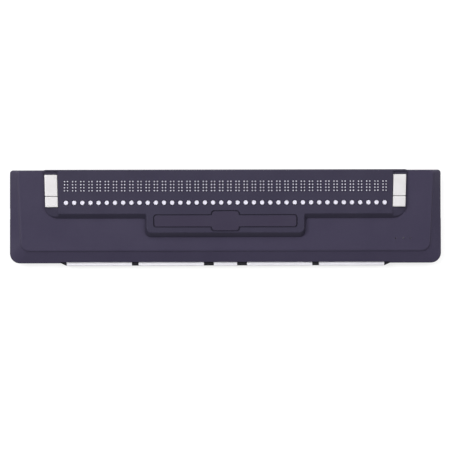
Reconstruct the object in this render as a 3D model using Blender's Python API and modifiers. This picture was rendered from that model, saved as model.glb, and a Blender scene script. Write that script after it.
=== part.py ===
"""Refreshable braille display: forty eight-dot cells with routing keys, side keys and thumb keys.

Metres, +Z up, the reader sits at -Y. The origin is on the desk, under the middle of the case.
Run with: blender --background --python part.py
"""

import math

import bmesh
import bpy
from mathutils import Matrix, Vector

# Clearances shared by all pieces
SEAM_GAP = 0.0003
CUT_OVERRUN = 0.004
MERGE_DISTANCE = 0.00005

# Case outline and walls
CASE_WIDTH = 0.340
CASE_END_WIDTH = 0.0282
CASE_BACK_Y = 0.0378
CASE_FRONT_Y = -0.0357
CASE_WALL = 0.0020
BASE_BOTTOM_Z = 0.0012
BASE_EDGE_CHAMFER = 0.0016
BASE_HEIGHT = 0.0074
SIDE_WALL_HEIGHT = 0.0010
FRONT_CORNER_RADIUS = 0.0080
BACK_CORNER_RADIUS = 0.0025
FRONT_CORNER_STEPS = 5
BACK_CORNER_STEPS = 2

# Palm surface of the top cover: a plane that falls gently towards the reader, inside a bevelled rim
PALM_BACK_RISE = 0.0078
PALM_FALL = 0.0030
RIDGE_FRONT_INSET = 0.0095
RIDGE_SIDE_INSET_AT_BACK = 0.0066
RIDGE_SIDE_INSET_AT_FRONT = 0.0093
RIDGE_CORNER_RADIUS = 0.0070
BACK_WALL_DRAFT = 0.0008
FRONT_RELIEF_DEPTH = 0.0009
FRONT_RELIEF_HEIGHT = 0.0022

# Braille cells: pitch, and the place of the dot rows from the back of the case
CELL_PITCH = 0.0064
DOT_PITCH = 0.0024
DOT_ROW_COUNT = 4
DOT_COLUMN_COUNT = 2
DOT_ROWS_INSET = 0.0131
PIN_WIDTH = 0.0012
PIN_RISE = 0.0007
PIN_SIDES = 4
PIN_CARRIER_THICKNESS = 0.0006
PIN_CARRIER_MARGIN = 0.0009

# Raised reading panel
PANEL_RISE = 0.0022
PANEL_THICKNESS = 0.0016
PANEL_STEP_DISTANCE = 0.00865
PANEL_STEP_RUN = 0.0035
PANEL_STEP_CORNER_RADIUS = 0.0105
PANEL_FOOT_CORNER_RADIUS = 0.0118
PANEL_INNER_CORNER_RADIUS = 0.0012
PANEL_END_MARGIN = 0.0002
PANEL_END_RUN = 0.0014
PANEL_SEAT = 0.0012
TONGUE_HALF_WIDTH = 0.0618
TONGUE_LENGTH = 0.0148
TONGUE_SIDE_RUN = 0.0011
TONGUE_CORNER_RADIUS = 0.0040
PANEL_CORNER_STEPS = 4
PANEL_POST_RADIUS = 0.0011
PANEL_POST_SPACING_CELLS = 13
PANEL_POST_ROW_OFFSET = 0.0040

# Name plate, bare, sunk flush into the panel's tongue
PLATE_END_MARGIN = 0.0060
PLATE_FRONT_MARGIN = 0.0046
PLATE_DEPTH = 0.0090
PLATE_CORNER_RADIUS = 0.0020
PLATE_BOSS_HALF_WIDTH = 0.0107
PLATE_BOSS_FRONT_MARGIN = 0.0015
PLATE_BOSS_DEPTH = 0.0153
PLATE_BOSS_RADIUS = 0.0025
PLATE_THICKNESS = 0.0007
PLATE_GROOVE = 0.0006
PLATE_CORNER_STEPS = 3

# Routing keys: one round key in front of each cell
ROUTING_KEY_DISTANCE = 0.01305
ROUTING_KEY_RADIUS = 0.0017
ROUTING_KEY_PROUD = 0.0009
ROUTING_KEY_TRAVEL = 0.0006
ROUTING_FLANGE_WIDTH = 0.0008
ROUTING_FLANGE_HEIGHT = 0.0012
ROUTING_KEY_SIDES = 8

# Side keys: a long rear key and a short front key at each end of the cells
SIDE_KEY_MARGIN = 0.0039
SIDE_KEY_WIDTH = 0.0099
SIDE_KEY_LEAN = 0.0007
SIDE_KEY_REAR_INSET = 0.0041
SIDE_KEY_STEP_MARGIN = 0.0053
SIDE_KEY_FRONT_LENGTH = 0.0084
SIDE_KEY_SPLIT_GAP = 0.0003
SIDE_KEY_PROUD = 0.0003
SIDE_KEY_FLANGE_WIDTH = 0.0014
SIDE_KEY_FLANGE_HEIGHT = 0.0009
SIDE_KEY_TRAVEL = 0.0008

# Thumb keys in the front edge, and the lip of the base that carries them
THUMB_CENTRE_HALF = 0.0092
THUMB_CENTRE_GAP = 0.0078
THUMB_OUTER_GAP = 0.0053
THUMB_END_INSET = 0.0447
THUMB_KEY_HEIGHT = 0.0044
THUMB_KEY_TOP_GAP = 0.0003
THUMB_LIP_REACH = 0.0019
THUMB_KEY_PROUD = 0.0002
THUMB_LIP_TAPER = 0.0046
THUMB_LIP_RISE = 0.0012
THUMB_FLANGE_WIDTH = 0.0012
THUMB_FLANGE_DEPTH = 0.0012
THUMB_KEY_TRAVEL = 0.0010

# Power button in a shallow recess on the left side
POWER_BUTTON_INSET = 0.0343
POWER_BUTTON_LENGTH = 0.0064
POWER_BUTTON_HEIGHT = 0.0026
POWER_BUTTON_LIFT = 0.0002
POWER_FLANGE = 0.0008
POWER_FLANGE_DEPTH = 0.0010
POWER_BUTTON_TRAVEL = 0.0007
POWER_RECESS_MARGIN = 0.0012
SIDE_RECESS_DEPTH = 0.0004

# Connector recess and the two sockets on the right side
SOCKET_RECESS_INSET = 0.0038
SOCKET_RECESS_LENGTH = 0.0350
SOCKET_EDGE_DISTANCE = 0.0060
SOCKET_SPACING = 0.0110
SOCKET_WIDTH = 0.0078
SOCKET_HEIGHT = 0.0038
SOCKET_WALL = 0.0004
SOCKET_DEPTH = 0.0062
SOCKET_LENGTH = 0.0092
SOCKET_LIFT = 0.0003

# Bosses, pads and holes for the case screws
SCREW_END_INSET = 0.0170
SCREW_REAR_INSET = 0.0103
SCREW_FRONT_INSET = 0.0147
SCREW_MIDDLE_INSET = 0.0117
SCREW_HOLE_RADIUS = 0.0015
SCREW_HOLE_SIDES = 8
SCREW_HOLE_RISE = 0.0020
SCREW_HEAD_HOLE_RADIUS = 0.0027
SCREW_HEAD_HOLE_DEPTH = 0.0020
BOSS_RADIUS = 0.0028
BOSS_SIDES = 12
PAD_RADIUS = 0.0036
PAD_HEIGHT = 0.0014

# Rubber foot strips along the back and the front of the base
FOOT_END_INSET = 0.0300
FOOT_HALF_DEPTH = 0.0025
FOOT_BACK_INSET = 0.0068
FOOT_FRONT_INSET = 0.0052
FOOT_CORNER_STEPS = 3
FOOT_POCKET_DEPTH = 0.0005

# Circuit boards
BOARD_THICKNESS = 0.0012
MAIN_BOARD_LIFT = 0.0010
MAIN_BOARD_END_GAP = 0.0230
MAIN_BOARD_BACK_GAP = 0.0048
MAIN_BOARD_FRONT_GAP = 0.0060
MAIN_BOARD_EAR_END_GAP = 0.0075
MAIN_BOARD_EAR_BACK_STEP = 0.0110
MAIN_BOARD_EAR_FRONT_STEP = 0.0157
STANDOFF_END_INSET = 0.0280
STANDOFF_BACK_INSET = 0.0040
STANDOFF_FRONT_INSET = 0.0097
STANDOFF_RADIUS = 0.0016
STANDOFF_SIDES = 6
SWITCH_BOARD_DROP = 0.0052
SWITCH_BOARD_STRIP_DEPTH = 0.0112
SWITCH_BOARD_END_MARGIN = 0.0018
SWITCH_MAT_WIDTH = 0.0026
SWITCH_SIZE = 0.0050
HEADER_WIDTH = 0.0030
HEADER_LENGTH = 0.0100
HEADER_MARGIN = 0.0040
SWITCH_CLEARANCE = 0.0002

# Cell mechanisms on their backplane: in each cell a clamp block holds four bending reeds
BACKPLANE_THICKNESS = 0.0010
BACKPLANE_MARGIN = 0.0010
CELL_SPACING = 0.0004
CELL_FRONT_GAP = 0.0162
CELL_BACK_GAP = 0.0068
CELL_BLOCK_LENGTH = 0.0100
REED_THICKNESS = 0.0005
REED_SPACING = 0.0012
REED_OVERHANG = 0.0009
REED_LIFT = 0.0009
PIN_FOOT_CLEARANCE = 0.0002

# Battery pack, lying on the left end of the main board
BATTERY_WIDTH = 0.0150
BATTERY_LENGTH = 0.0460
BATTERY_HEIGHT = 0.0062
BATTERY_EDGE_RADIUS = 0.0020
BATTERY_ROW_MARGIN = 0.0032
BATTERY_BACK_INSET = 0.0020
BATTERY_EDGE_STEPS = 3

# Across: the row holds as many cells as fit between the side keys
HALF_WIDTH = CASE_WIDTH / 2
CELL_COUNT = round((HALF_WIDTH - CASE_END_WIDTH - SIDE_KEY_WIDTH - SIDE_KEY_MARGIN) * 2 / CELL_PITCH)
ROW_HALF_LENGTH = CELL_COUNT * CELL_PITCH / 2
SIDE_KEY_INNER_X = ROW_HALF_LENGTH + SIDE_KEY_MARGIN
PLATE_HALF_WIDTH = TONGUE_HALF_WIDTH - PLATE_END_MARGIN
THUMB_OUTER_TO = HALF_WIDTH - THUMB_END_INSET
THUMB_INNER_FROM = THUMB_CENTRE_HALF + THUMB_CENTRE_GAP
THUMB_KEY_LENGTH = (THUMB_OUTER_TO - THUMB_INNER_FROM - THUMB_OUTER_GAP) / 2
THUMB_INNER_TO = THUMB_INNER_FROM + THUMB_KEY_LENGTH
THUMB_OUTER_FROM = THUMB_OUTER_TO - THUMB_KEY_LENGTH
MAIN_BOARD_HALF_WIDTH = HALF_WIDTH - MAIN_BOARD_END_GAP
MAIN_BOARD_EAR_X = HALF_WIDTH - MAIN_BOARD_EAR_END_GAP
FOOT_HALF_LENGTH = HALF_WIDTH - FOOT_END_INSET
SCREW_X = HALF_WIDTH - SCREW_END_INSET
SCREW_MIDDLE_X = (THUMB_INNER_TO + THUMB_OUTER_FROM) / 2
STANDOFF_X = ROW_HALF_LENGTH - STANDOFF_END_INSET
CELL_BODY_WIDTH = CELL_PITCH - CELL_SPACING

# From back to front
DOT_ROWS_Y = CASE_BACK_Y - DOT_ROWS_INSET
ROUTING_KEY_Y = DOT_ROWS_Y - ROUTING_KEY_DISTANCE
PANEL_STEP_Y = ROUTING_KEY_Y - PANEL_STEP_DISTANCE
TONGUE_FRONT_Y = PANEL_STEP_Y - TONGUE_LENGTH
PLATE_FRONT_Y = TONGUE_FRONT_Y + PLATE_FRONT_MARGIN
PLATE_BACK_Y = PLATE_FRONT_Y + PLATE_DEPTH
PLATE_BOSS_FRONT_Y = TONGUE_FRONT_Y + PLATE_BOSS_FRONT_MARGIN
PLATE_BOSS_BACK_Y = PLATE_BOSS_FRONT_Y + PLATE_BOSS_DEPTH
RIDGE_FRONT_Y = CASE_FRONT_Y + RIDGE_FRONT_INSET
SIDE_KEY_REAR_Y = CASE_BACK_Y - SIDE_KEY_REAR_INSET
SIDE_KEY_FRONT_Y = PANEL_STEP_Y + SIDE_KEY_STEP_MARGIN
SIDE_KEY_SPLIT_Y = SIDE_KEY_FRONT_Y + SIDE_KEY_FRONT_LENGTH
THUMB_LIP_Y = CASE_FRONT_Y - THUMB_LIP_REACH
THUMB_KEY_FRONT_Y = THUMB_LIP_Y - THUMB_KEY_PROUD
THUMB_FLANGE_FRONT_Y = CASE_FRONT_Y + CASE_WALL + SEAM_GAP
THUMB_FLANGE_BACK_Y = THUMB_FLANGE_FRONT_Y + THUMB_FLANGE_DEPTH
POWER_BUTTON_Y = CASE_BACK_Y - POWER_BUTTON_INSET
SOCKET_RECESS_BACK_Y = CASE_BACK_Y - SOCKET_RECESS_INSET
SOCKET_RECESS_FRONT_Y = SOCKET_RECESS_BACK_Y - SOCKET_RECESS_LENGTH
SOCKET_FRONT_Y = SOCKET_RECESS_FRONT_Y + SOCKET_EDGE_DISTANCE
SOCKET_PLACES_Y = (SOCKET_FRONT_Y, SOCKET_FRONT_Y + SOCKET_SPACING)
MAIN_BOARD_BACK_Y = CASE_BACK_Y - MAIN_BOARD_BACK_GAP
MAIN_BOARD_FRONT_Y = CASE_FRONT_Y + MAIN_BOARD_FRONT_GAP
MAIN_BOARD_EAR_BACK_Y = MAIN_BOARD_BACK_Y - MAIN_BOARD_EAR_BACK_STEP
MAIN_BOARD_EAR_FRONT_Y = MAIN_BOARD_FRONT_Y + MAIN_BOARD_EAR_FRONT_STEP
STANDOFF_BACK_Y = MAIN_BOARD_BACK_Y - STANDOFF_BACK_INSET
STANDOFF_FRONT_Y = MAIN_BOARD_FRONT_Y + STANDOFF_FRONT_INSET
FOOT_BACK_Y = CASE_BACK_Y - FOOT_BACK_INSET
FOOT_FRONT_Y = CASE_FRONT_Y + FOOT_FRONT_INSET
CELL_BACK_Y = CASE_BACK_Y - CELL_BACK_GAP
CELL_FRONT_Y = CASE_FRONT_Y + CELL_FRONT_GAP
BATTERY_Y = MAIN_BOARD_BACK_Y - BATTERY_BACK_INSET - BATTERY_LENGTH / 2

# From the desk up
PARTING_Z = BASE_BOTTOM_Z + BASE_HEIGHT
SIDE_WALL_TOP_Z = PARTING_Z + SIDE_WALL_HEIGHT
PALM_BACK_Z = SIDE_WALL_TOP_Z + PALM_BACK_RISE
PALM_SLOPE = PALM_FALL / (CASE_BACK_Y - RIDGE_FRONT_Y)
PANEL_TOP_Z = PALM_BACK_Z + PANEL_RISE
PANEL_UNDERSIDE_Z = PANEL_TOP_Z - PANEL_THICKNESS
BASE_TOP_Z = PARTING_Z - SEAM_GAP
BASE_FLOOR_Z = BASE_BOTTOM_Z + CASE_WALL
PAD_TOP_Z = BASE_FLOOR_Z + PAD_HEIGHT
SCREW_HOLE_TOP_Z = PARTING_Z + SCREW_HOLE_RISE
THUMB_LIP_BOTTOM_Z = BASE_BOTTOM_Z + THUMB_LIP_RISE
THUMB_KEY_TOP_Z = BASE_TOP_Z - THUMB_KEY_TOP_GAP
THUMB_KEY_BOTTOM_Z = THUMB_KEY_TOP_Z - THUMB_KEY_HEIGHT
MAIN_BOARD_BOTTOM_Z = BASE_FLOOR_Z + MAIN_BOARD_LIFT
MAIN_BOARD_TOP_Z = MAIN_BOARD_BOTTOM_Z + BOARD_THICKNESS
POWER_BUTTON_Z = MAIN_BOARD_TOP_Z + POWER_BUTTON_LIFT
SOCKET_Z = MAIN_BOARD_TOP_Z + SOCKET_LIFT
SWITCH_BOARD_TOP_Z = PANEL_TOP_Z - SWITCH_BOARD_DROP
BACKPLANE_BOTTOM_Z = MAIN_BOARD_TOP_Z + SEAM_GAP
BACKPLANE_TOP_Z = BACKPLANE_BOTTOM_Z + BACKPLANE_THICKNESS
REED_LOWEST_Z = BACKPLANE_TOP_Z + REED_LIFT
PIN_CARRIER_TOP_Z = PANEL_UNDERSIDE_Z - SEAM_GAP
PIN_CARRIER_BOTTOM_Z = PIN_CARRIER_TOP_Z - PIN_CARRIER_THICKNESS
ROUTING_FLANGE_TOP_Z = PANEL_UNDERSIDE_Z - SEAM_GAP
ROUTING_KEY_BOTTOM_Z = ROUTING_FLANGE_TOP_Z - ROUTING_FLANGE_HEIGHT
SIDE_KEY_BOTTOM_Z = PANEL_UNDERSIDE_Z - SEAM_GAP - SIDE_KEY_FLANGE_HEIGHT

THUMB_KEYS = {
    "thumb_key_left_outer": (-THUMB_OUTER_TO, -THUMB_OUTER_FROM),
    "thumb_key_left_inner": (-THUMB_INNER_TO, -THUMB_INNER_FROM),
    "thumb_key_centre": (-THUMB_CENTRE_HALF, THUMB_CENTRE_HALF),
    "thumb_key_right_inner": (THUMB_INNER_FROM, THUMB_INNER_TO),
    "thumb_key_right_outer": (THUMB_OUTER_FROM, THUMB_OUTER_TO),
}
SCREW_PLACES = [
    (side * x, y)
    for x, y in (
        (SCREW_X, CASE_BACK_Y - SCREW_REAR_INSET),
        (SCREW_X, CASE_FRONT_Y + SCREW_FRONT_INSET),
        (SCREW_MIDDLE_X, CASE_FRONT_Y + SCREW_MIDDLE_INSET),
    )
    for side in (-1, 1)
]
STANDOFF_PLACES = [(x, y) for y in (STANDOFF_BACK_Y, STANDOFF_FRONT_Y) for x in (-STANDOFF_X, 0, STANDOFF_X)]


def palm_z(y):
    """Height of the top cover's palm surface at depth y."""
    return PALM_BACK_Z - PALM_SLOPE * (CASE_BACK_Y - y)


def cell_x(index):
    """Middle of a cell, counted from the left."""
    return (index + 0.5) * CELL_PITCH - ROW_HALF_LENGTH


def row_y(row):
    """Depth of a dot row, row 0 being the furthest from the reader."""
    return DOT_ROWS_Y + ((DOT_ROW_COUNT - 1) / 2 - row) * DOT_PITCH


def reed_top_z(row):
    """Top of the reed under a dot row: the rear row stands on the lowest reed."""
    return REED_LOWEST_Z + row * REED_SPACING + REED_THICKNESS


# Scene helpers


def clear_scene():
    for obj in list(bpy.data.objects):
        bpy.data.objects.remove(obj, do_unlink=True)


def make_collection(name):
    collection = bpy.data.collections.new(name)
    bpy.context.scene.collection.children.link(collection)
    return collection


def make_material(name, colour, roughness, metallic=0.0):
    material = bpy.data.materials.new(name)
    material.use_nodes = True
    shader = material.node_tree.nodes["Principled BSDF"]
    shader.inputs["Base Color"].default_value = (*colour, 1.0)
    shader.inputs["Roughness"].default_value = roughness
    shader.inputs["Metallic"].default_value = metallic
    return material


def mesh_object(name, build, collection, material=None):
    """A mesh object whose faces the function build adds to a new bmesh."""
    bm = bmesh.new()
    build(bm)
    mesh = bpy.data.meshes.new(name)
    bm.to_mesh(mesh)
    bm.free()
    obj = bpy.data.objects.new(name, mesh)
    collection.objects.link(obj)
    if material:
        mesh.materials.append(material)
    return obj


def as_cutter(obj):
    obj.hide_render = True
    obj.display_type = "WIRE"
    return obj


def add_box(bm, low, high):
    """A box between two corners."""
    size = Vector(high) - Vector(low)
    centre = (Vector(high) + Vector(low)) / 2
    bmesh.ops.create_cube(bm, size=1, matrix=Matrix.Translation(centre) @ Matrix.Diagonal((*size, 1)))


def flats_radius(width, sides):
    """Radius to the corners of a regular bar that measures this width across its flats."""
    return width / 2 / math.cos(math.pi / sides)


def add_prism(bm, x, y, z_low, z_high, radius, sides):
    """An upright round or many-sided bar."""
    centre = Matrix.Translation((x, y, (z_low + z_high) / 2))
    matrix = centre @ Matrix.Rotation(math.pi / sides, 4, "Z")
    depth = z_high - z_low
    bmesh.ops.create_cone(
        bm, cap_ends=True, segments=sides, radius1=radius, radius2=radius, depth=depth, matrix=matrix
    )


def rounded_outline(corners):
    """Points round a closed outline. Each corner is x, y, radius and the number of steps of its arc."""
    points = []
    for i, (x, y, radius, steps) in enumerate(corners):
        corner = Vector((x, y))
        to_last = (Vector(corners[i - 1][:2]) - corner).normalized()
        to_next = (Vector(corners[(i + 1) % len(corners)][:2]) - corner).normalized()
        half = to_last.angle(to_next) / 2
        centre = corner + (to_last + to_next).normalized() * radius / math.sin(half)
        start = corner + to_last * radius / math.tan(half) - centre
        sweep = start.angle_signed(corner + to_next * radius / math.tan(half) - centre)
        for step in range(steps + 1):
            points.append(centre + Matrix.Rotation(-sweep * step / steps, 2) @ start)
    return points


def mirrored(corners):
    """The left half's corners, then the same corners on the right, so that the outline closes."""
    return corners + [(-x, y, radius, steps) for x, y, radius, steps in reversed(corners)]


def outline_solid(name, points, z_low, z_high, collection, material=None):
    """A flat outline drawn as a filled curve with thickness, then made a mesh with welded caps."""
    curve = bpy.data.curves.new(name, "CURVE")
    curve.dimensions = "2D"
    curve.fill_mode = "BOTH"
    curve.extrude = (z_high - z_low) / 2
    spline = curve.splines.new("POLY")
    spline.points.add(len(points) - 1)
    for point, place in zip(spline.points, points):
        point.co = (place[0], place[1], 0, 1)
    spline.use_cyclic_u = True
    drawn = bpy.data.objects.new(name + "_outline", curve)
    drawn.location.z = (z_low + z_high) / 2
    collection.objects.link(drawn)
    return curve_to_mesh(drawn, name, collection, material)


def curve_to_mesh(drawn, name, collection, material=None):
    bpy.context.view_layer.update()
    evaluated = drawn.evaluated_get(bpy.context.evaluated_depsgraph_get())
    mesh = bpy.data.meshes.new_from_object(evaluated)
    bm = bmesh.new()
    bm.from_mesh(mesh)
    bmesh.ops.remove_doubles(bm, verts=bm.verts, dist=MERGE_DISTANCE)
    bmesh.ops.recalc_face_normals(bm, faces=bm.faces)
    bm.to_mesh(mesh)
    bm.free()
    mesh.name = name
    mesh.materials.clear()
    if material:
        mesh.materials.append(material)
    obj = bpy.data.objects.new(name, mesh)
    obj.matrix_world = drawn.matrix_world.copy()
    collection.objects.link(obj)
    bpy.data.objects.remove(drawn, do_unlink=True)
    return obj


def loft(name, rings, collection, material=None, downwards=False, closed=False):
    """A surface through rings of equally many points, with a flat face on the last ring, or on both ends."""

    def build(bm):
        loops = [[bm.verts.new(point) for point in ring] for ring in rings]
        count = len(rings[0])
        for lower, upper in zip(loops, loops[1:]):
            for i in range(count):
                j = (i + 1) % count
                face = (lower[i], lower[j], upper[j], upper[i])
                bm.faces.new(reversed(face) if downwards else face)
        bm.faces.new(reversed(loops[-1]) if downwards else loops[-1])
        if closed:
            bm.faces.new(reversed(loops[0]))
        bmesh.ops.triangulate(bm, faces=[face for face in bm.faces if len(face.verts) == 4])

    return mesh_object(name, build, collection, material)


def add_shell(obj, thickness):
    shell = obj.modifiers.new("wall", "SOLIDIFY")
    shell.thickness = thickness
    shell.offset = -1
    shell.use_even_offset = True


def add_boolean(obj, other, operation):
    boolean = obj.modifiers.new(operation.lower(), "BOOLEAN")
    boolean.operation = operation
    boolean.object = other
    boolean.solver = "EXACT"


def turned_mesh(name, profile, sides, material):
    """A solid of revolution round Z, as a mesh that several objects can share."""
    mesh = bpy.data.meshes.new(name)
    edges = [(i, i + 1) for i in range(len(profile) - 1)]
    mesh.from_pydata([(radius, 0, z) for radius, z in profile], edges, [])
    turned = bpy.data.objects.new(name, mesh)
    bpy.context.scene.collection.objects.link(turned)
    screw = turned.modifiers.new("turn", "SCREW")
    screw.steps = sides
    screw.render_steps = sides
    screw.use_merge_vertices = True
    screw.merge_threshold = MERGE_DISTANCE
    bpy.context.view_layer.update()
    evaluated = turned.evaluated_get(bpy.context.evaluated_depsgraph_get())
    result = bpy.data.meshes.new_from_object(evaluated)
    bpy.data.objects.remove(turned, do_unlink=True)
    result.name = name
    result.materials.append(material)
    return result


# Outlines


def case_outline(inset=0.0):
    """The case in plan: small corners at the back, large ones at the front, anticlockwise from above."""
    x = HALF_WIDTH - inset
    return rounded_outline(
        mirrored(
            [
                (-x, CASE_BACK_Y - inset, BACK_CORNER_RADIUS, BACK_CORNER_STEPS),
                (-x, CASE_FRONT_Y + inset, FRONT_CORNER_RADIUS - inset, FRONT_CORNER_STEPS),
            ]
        )
    )


def ridge_outline():
    """The edge between the palm surface and the bevelled rim."""
    back_x = HALF_WIDTH - RIDGE_SIDE_INSET_AT_BACK
    front_x = HALF_WIDTH - RIDGE_SIDE_INSET_AT_FRONT
    return rounded_outline(
        mirrored(
            [
                (-back_x, CASE_BACK_Y - BACK_WALL_DRAFT, BACK_CORNER_RADIUS, BACK_CORNER_STEPS),
                (-front_x, RIDGE_FRONT_Y, RIDGE_CORNER_RADIUS, FRONT_CORNER_STEPS),
            ]
        )
    )


def side_key_x(y, across):
    """X of the right-hand side keys at depth y. Across is 0 at their inner edge and 1 at the outer one."""
    along = (y - SIDE_KEY_FRONT_Y) / (SIDE_KEY_REAR_Y - SIDE_KEY_FRONT_Y)
    return SIDE_KEY_INNER_X + across * SIDE_KEY_WIDTH - SIDE_KEY_LEAN * (1 - along)


def between(top, foot, share):
    """A size that changes evenly from the panel's top, share 0, to its foot, share 1."""
    return top + (foot - top) * share


def panel_outline(share, grow=0.0):
    """The raised panel in plan. Share is 0 at its top and 1 at its foot, because its walls run outwards."""
    step_y = PANEL_STEP_Y - PANEL_STEP_RUN * share
    tongue_x = TONGUE_HALF_WIDTH + TONGUE_SIDE_RUN * share
    end_run = PANEL_END_MARGIN + PANEL_END_RUN * share + grow
    end_back_x = side_key_x(CASE_BACK_Y, 1) + end_run
    end_front_x = side_key_x(step_y, 1) + end_run
    back_y = CASE_BACK_Y - BACK_WALL_DRAFT * (1 - share) + grow
    step_radius = between(PANEL_STEP_CORNER_RADIUS, PANEL_FOOT_CORNER_RADIUS, share) + grow
    tongue_radius = TONGUE_CORNER_RADIUS + TONGUE_SIDE_RUN * share / 2 + grow
    tongue_front_y = TONGUE_FRONT_Y - PANEL_STEP_RUN * share - grow
    steps = PANEL_CORNER_STEPS
    return rounded_outline(
        mirrored(
            [
                (-end_back_x, back_y, BACK_CORNER_RADIUS + grow, BACK_CORNER_STEPS),
                (-end_front_x, step_y - grow, step_radius, steps),
                (-tongue_x - grow, step_y - grow, PANEL_INNER_CORNER_RADIUS - grow, steps // 2),
                (-tongue_x - grow, tongue_front_y, tongue_radius, steps),
            ]
        )
    )


def bar_outline(half_width, back_y, front_y, radius, steps):
    """A rectangle with four equal round corners."""
    corners = [(-half_width, back_y, radius, steps), (-half_width, front_y, radius, steps)]
    return rounded_outline(mirrored(corners))


def plate_bar_outline(grow=0.0):
    """The name plate's long bar."""
    back, front = PLATE_BACK_Y + grow, PLATE_FRONT_Y - grow
    return bar_outline(PLATE_HALF_WIDTH + grow, back, front, PLATE_CORNER_RADIUS, PLATE_CORNER_STEPS)


def plate_boss_outline(grow=0.0):
    """The name plate's wider middle."""
    back, front = PLATE_BOSS_BACK_Y + grow, PLATE_BOSS_FRONT_Y - grow
    return bar_outline(PLATE_BOSS_HALF_WIDTH + grow, back, front, PLATE_BOSS_RADIUS, PLATE_CORNER_STEPS)


# Pieces


def make_top_cover(parts, cutters, material):
    """Shell with the palm surface, the bevelled rim, six screw bosses and the opening for the panel."""
    rim = case_outline()
    rings = [
        [(p.x, p.y, PARTING_Z) for p in rim],
        [(p.x, p.y, SIDE_WALL_TOP_Z) for p in rim],
        [(p.x, p.y, palm_z(p.y)) for p in ridge_outline()],
    ]
    cover = loft("top_cover", rings, parts, material)
    add_shell(cover, CASE_WALL)

    def bosses(bm):
        for x, y in SCREW_PLACES:
            add_prism(bm, x, y, PAD_TOP_Z + SEAM_GAP, palm_z(y) - CASE_WALL / 2, BOSS_RADIUS, BOSS_SIDES)

    def holes(bm):
        for x, y in SCREW_PLACES:
            add_prism(bm, x, y, BASE_BOTTOM_Z, SCREW_HOLE_TOP_Z, SCREW_HOLE_RADIUS, SCREW_HOLE_SIDES)
        relief_x = THUMB_OUTER_TO + THUMB_LIP_TAPER
        relief_back, relief_top = CASE_FRONT_Y + FRONT_RELIEF_DEPTH, PARTING_Z + FRONT_RELIEF_HEIGHT
        relief_low = (-relief_x, CASE_FRONT_Y - CUT_OVERRUN, PARTING_Z - CUT_OVERRUN)
        add_box(bm, relief_low, (relief_x, relief_back, relief_top))
        add_side_recesses(bm)

    add_boolean(cover, as_cutter(mesh_object("top_cover_bosses", bosses, cutters)), "UNION")
    add_boolean(cover, as_cutter(mesh_object("top_cover_cuts", holes, cutters)), "DIFFERENCE")
    opening = outline_solid(
        "panel_opening", panel_outline(1, -PANEL_SEAT), PARTING_Z, PANEL_TOP_Z + CUT_OVERRUN, cutters
    )
    add_boolean(cover, as_cutter(opening), "DIFFERENCE")
    return cover


def add_side_recesses(bm):
    """Shallow recesses in both sides of the case, round the power button and the sockets."""
    half = POWER_BUTTON_LENGTH / 2 + POWER_RECESS_MARGIN
    add_box(
        bm,
        (-HALF_WIDTH - CUT_OVERRUN, POWER_BUTTON_Y - half, BASE_BOTTOM_Z - CUT_OVERRUN),
        (-HALF_WIDTH + SIDE_RECESS_DEPTH, POWER_BUTTON_Y + half, SIDE_WALL_TOP_Z),
    )
    add_box(
        bm,
        (HALF_WIDTH - SIDE_RECESS_DEPTH, SOCKET_RECESS_FRONT_Y, BASE_BOTTOM_Z - CUT_OVERRUN),
        (HALF_WIDTH + CUT_OVERRUN, SOCKET_RECESS_BACK_Y, SIDE_WALL_TOP_Z),
    )


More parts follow.
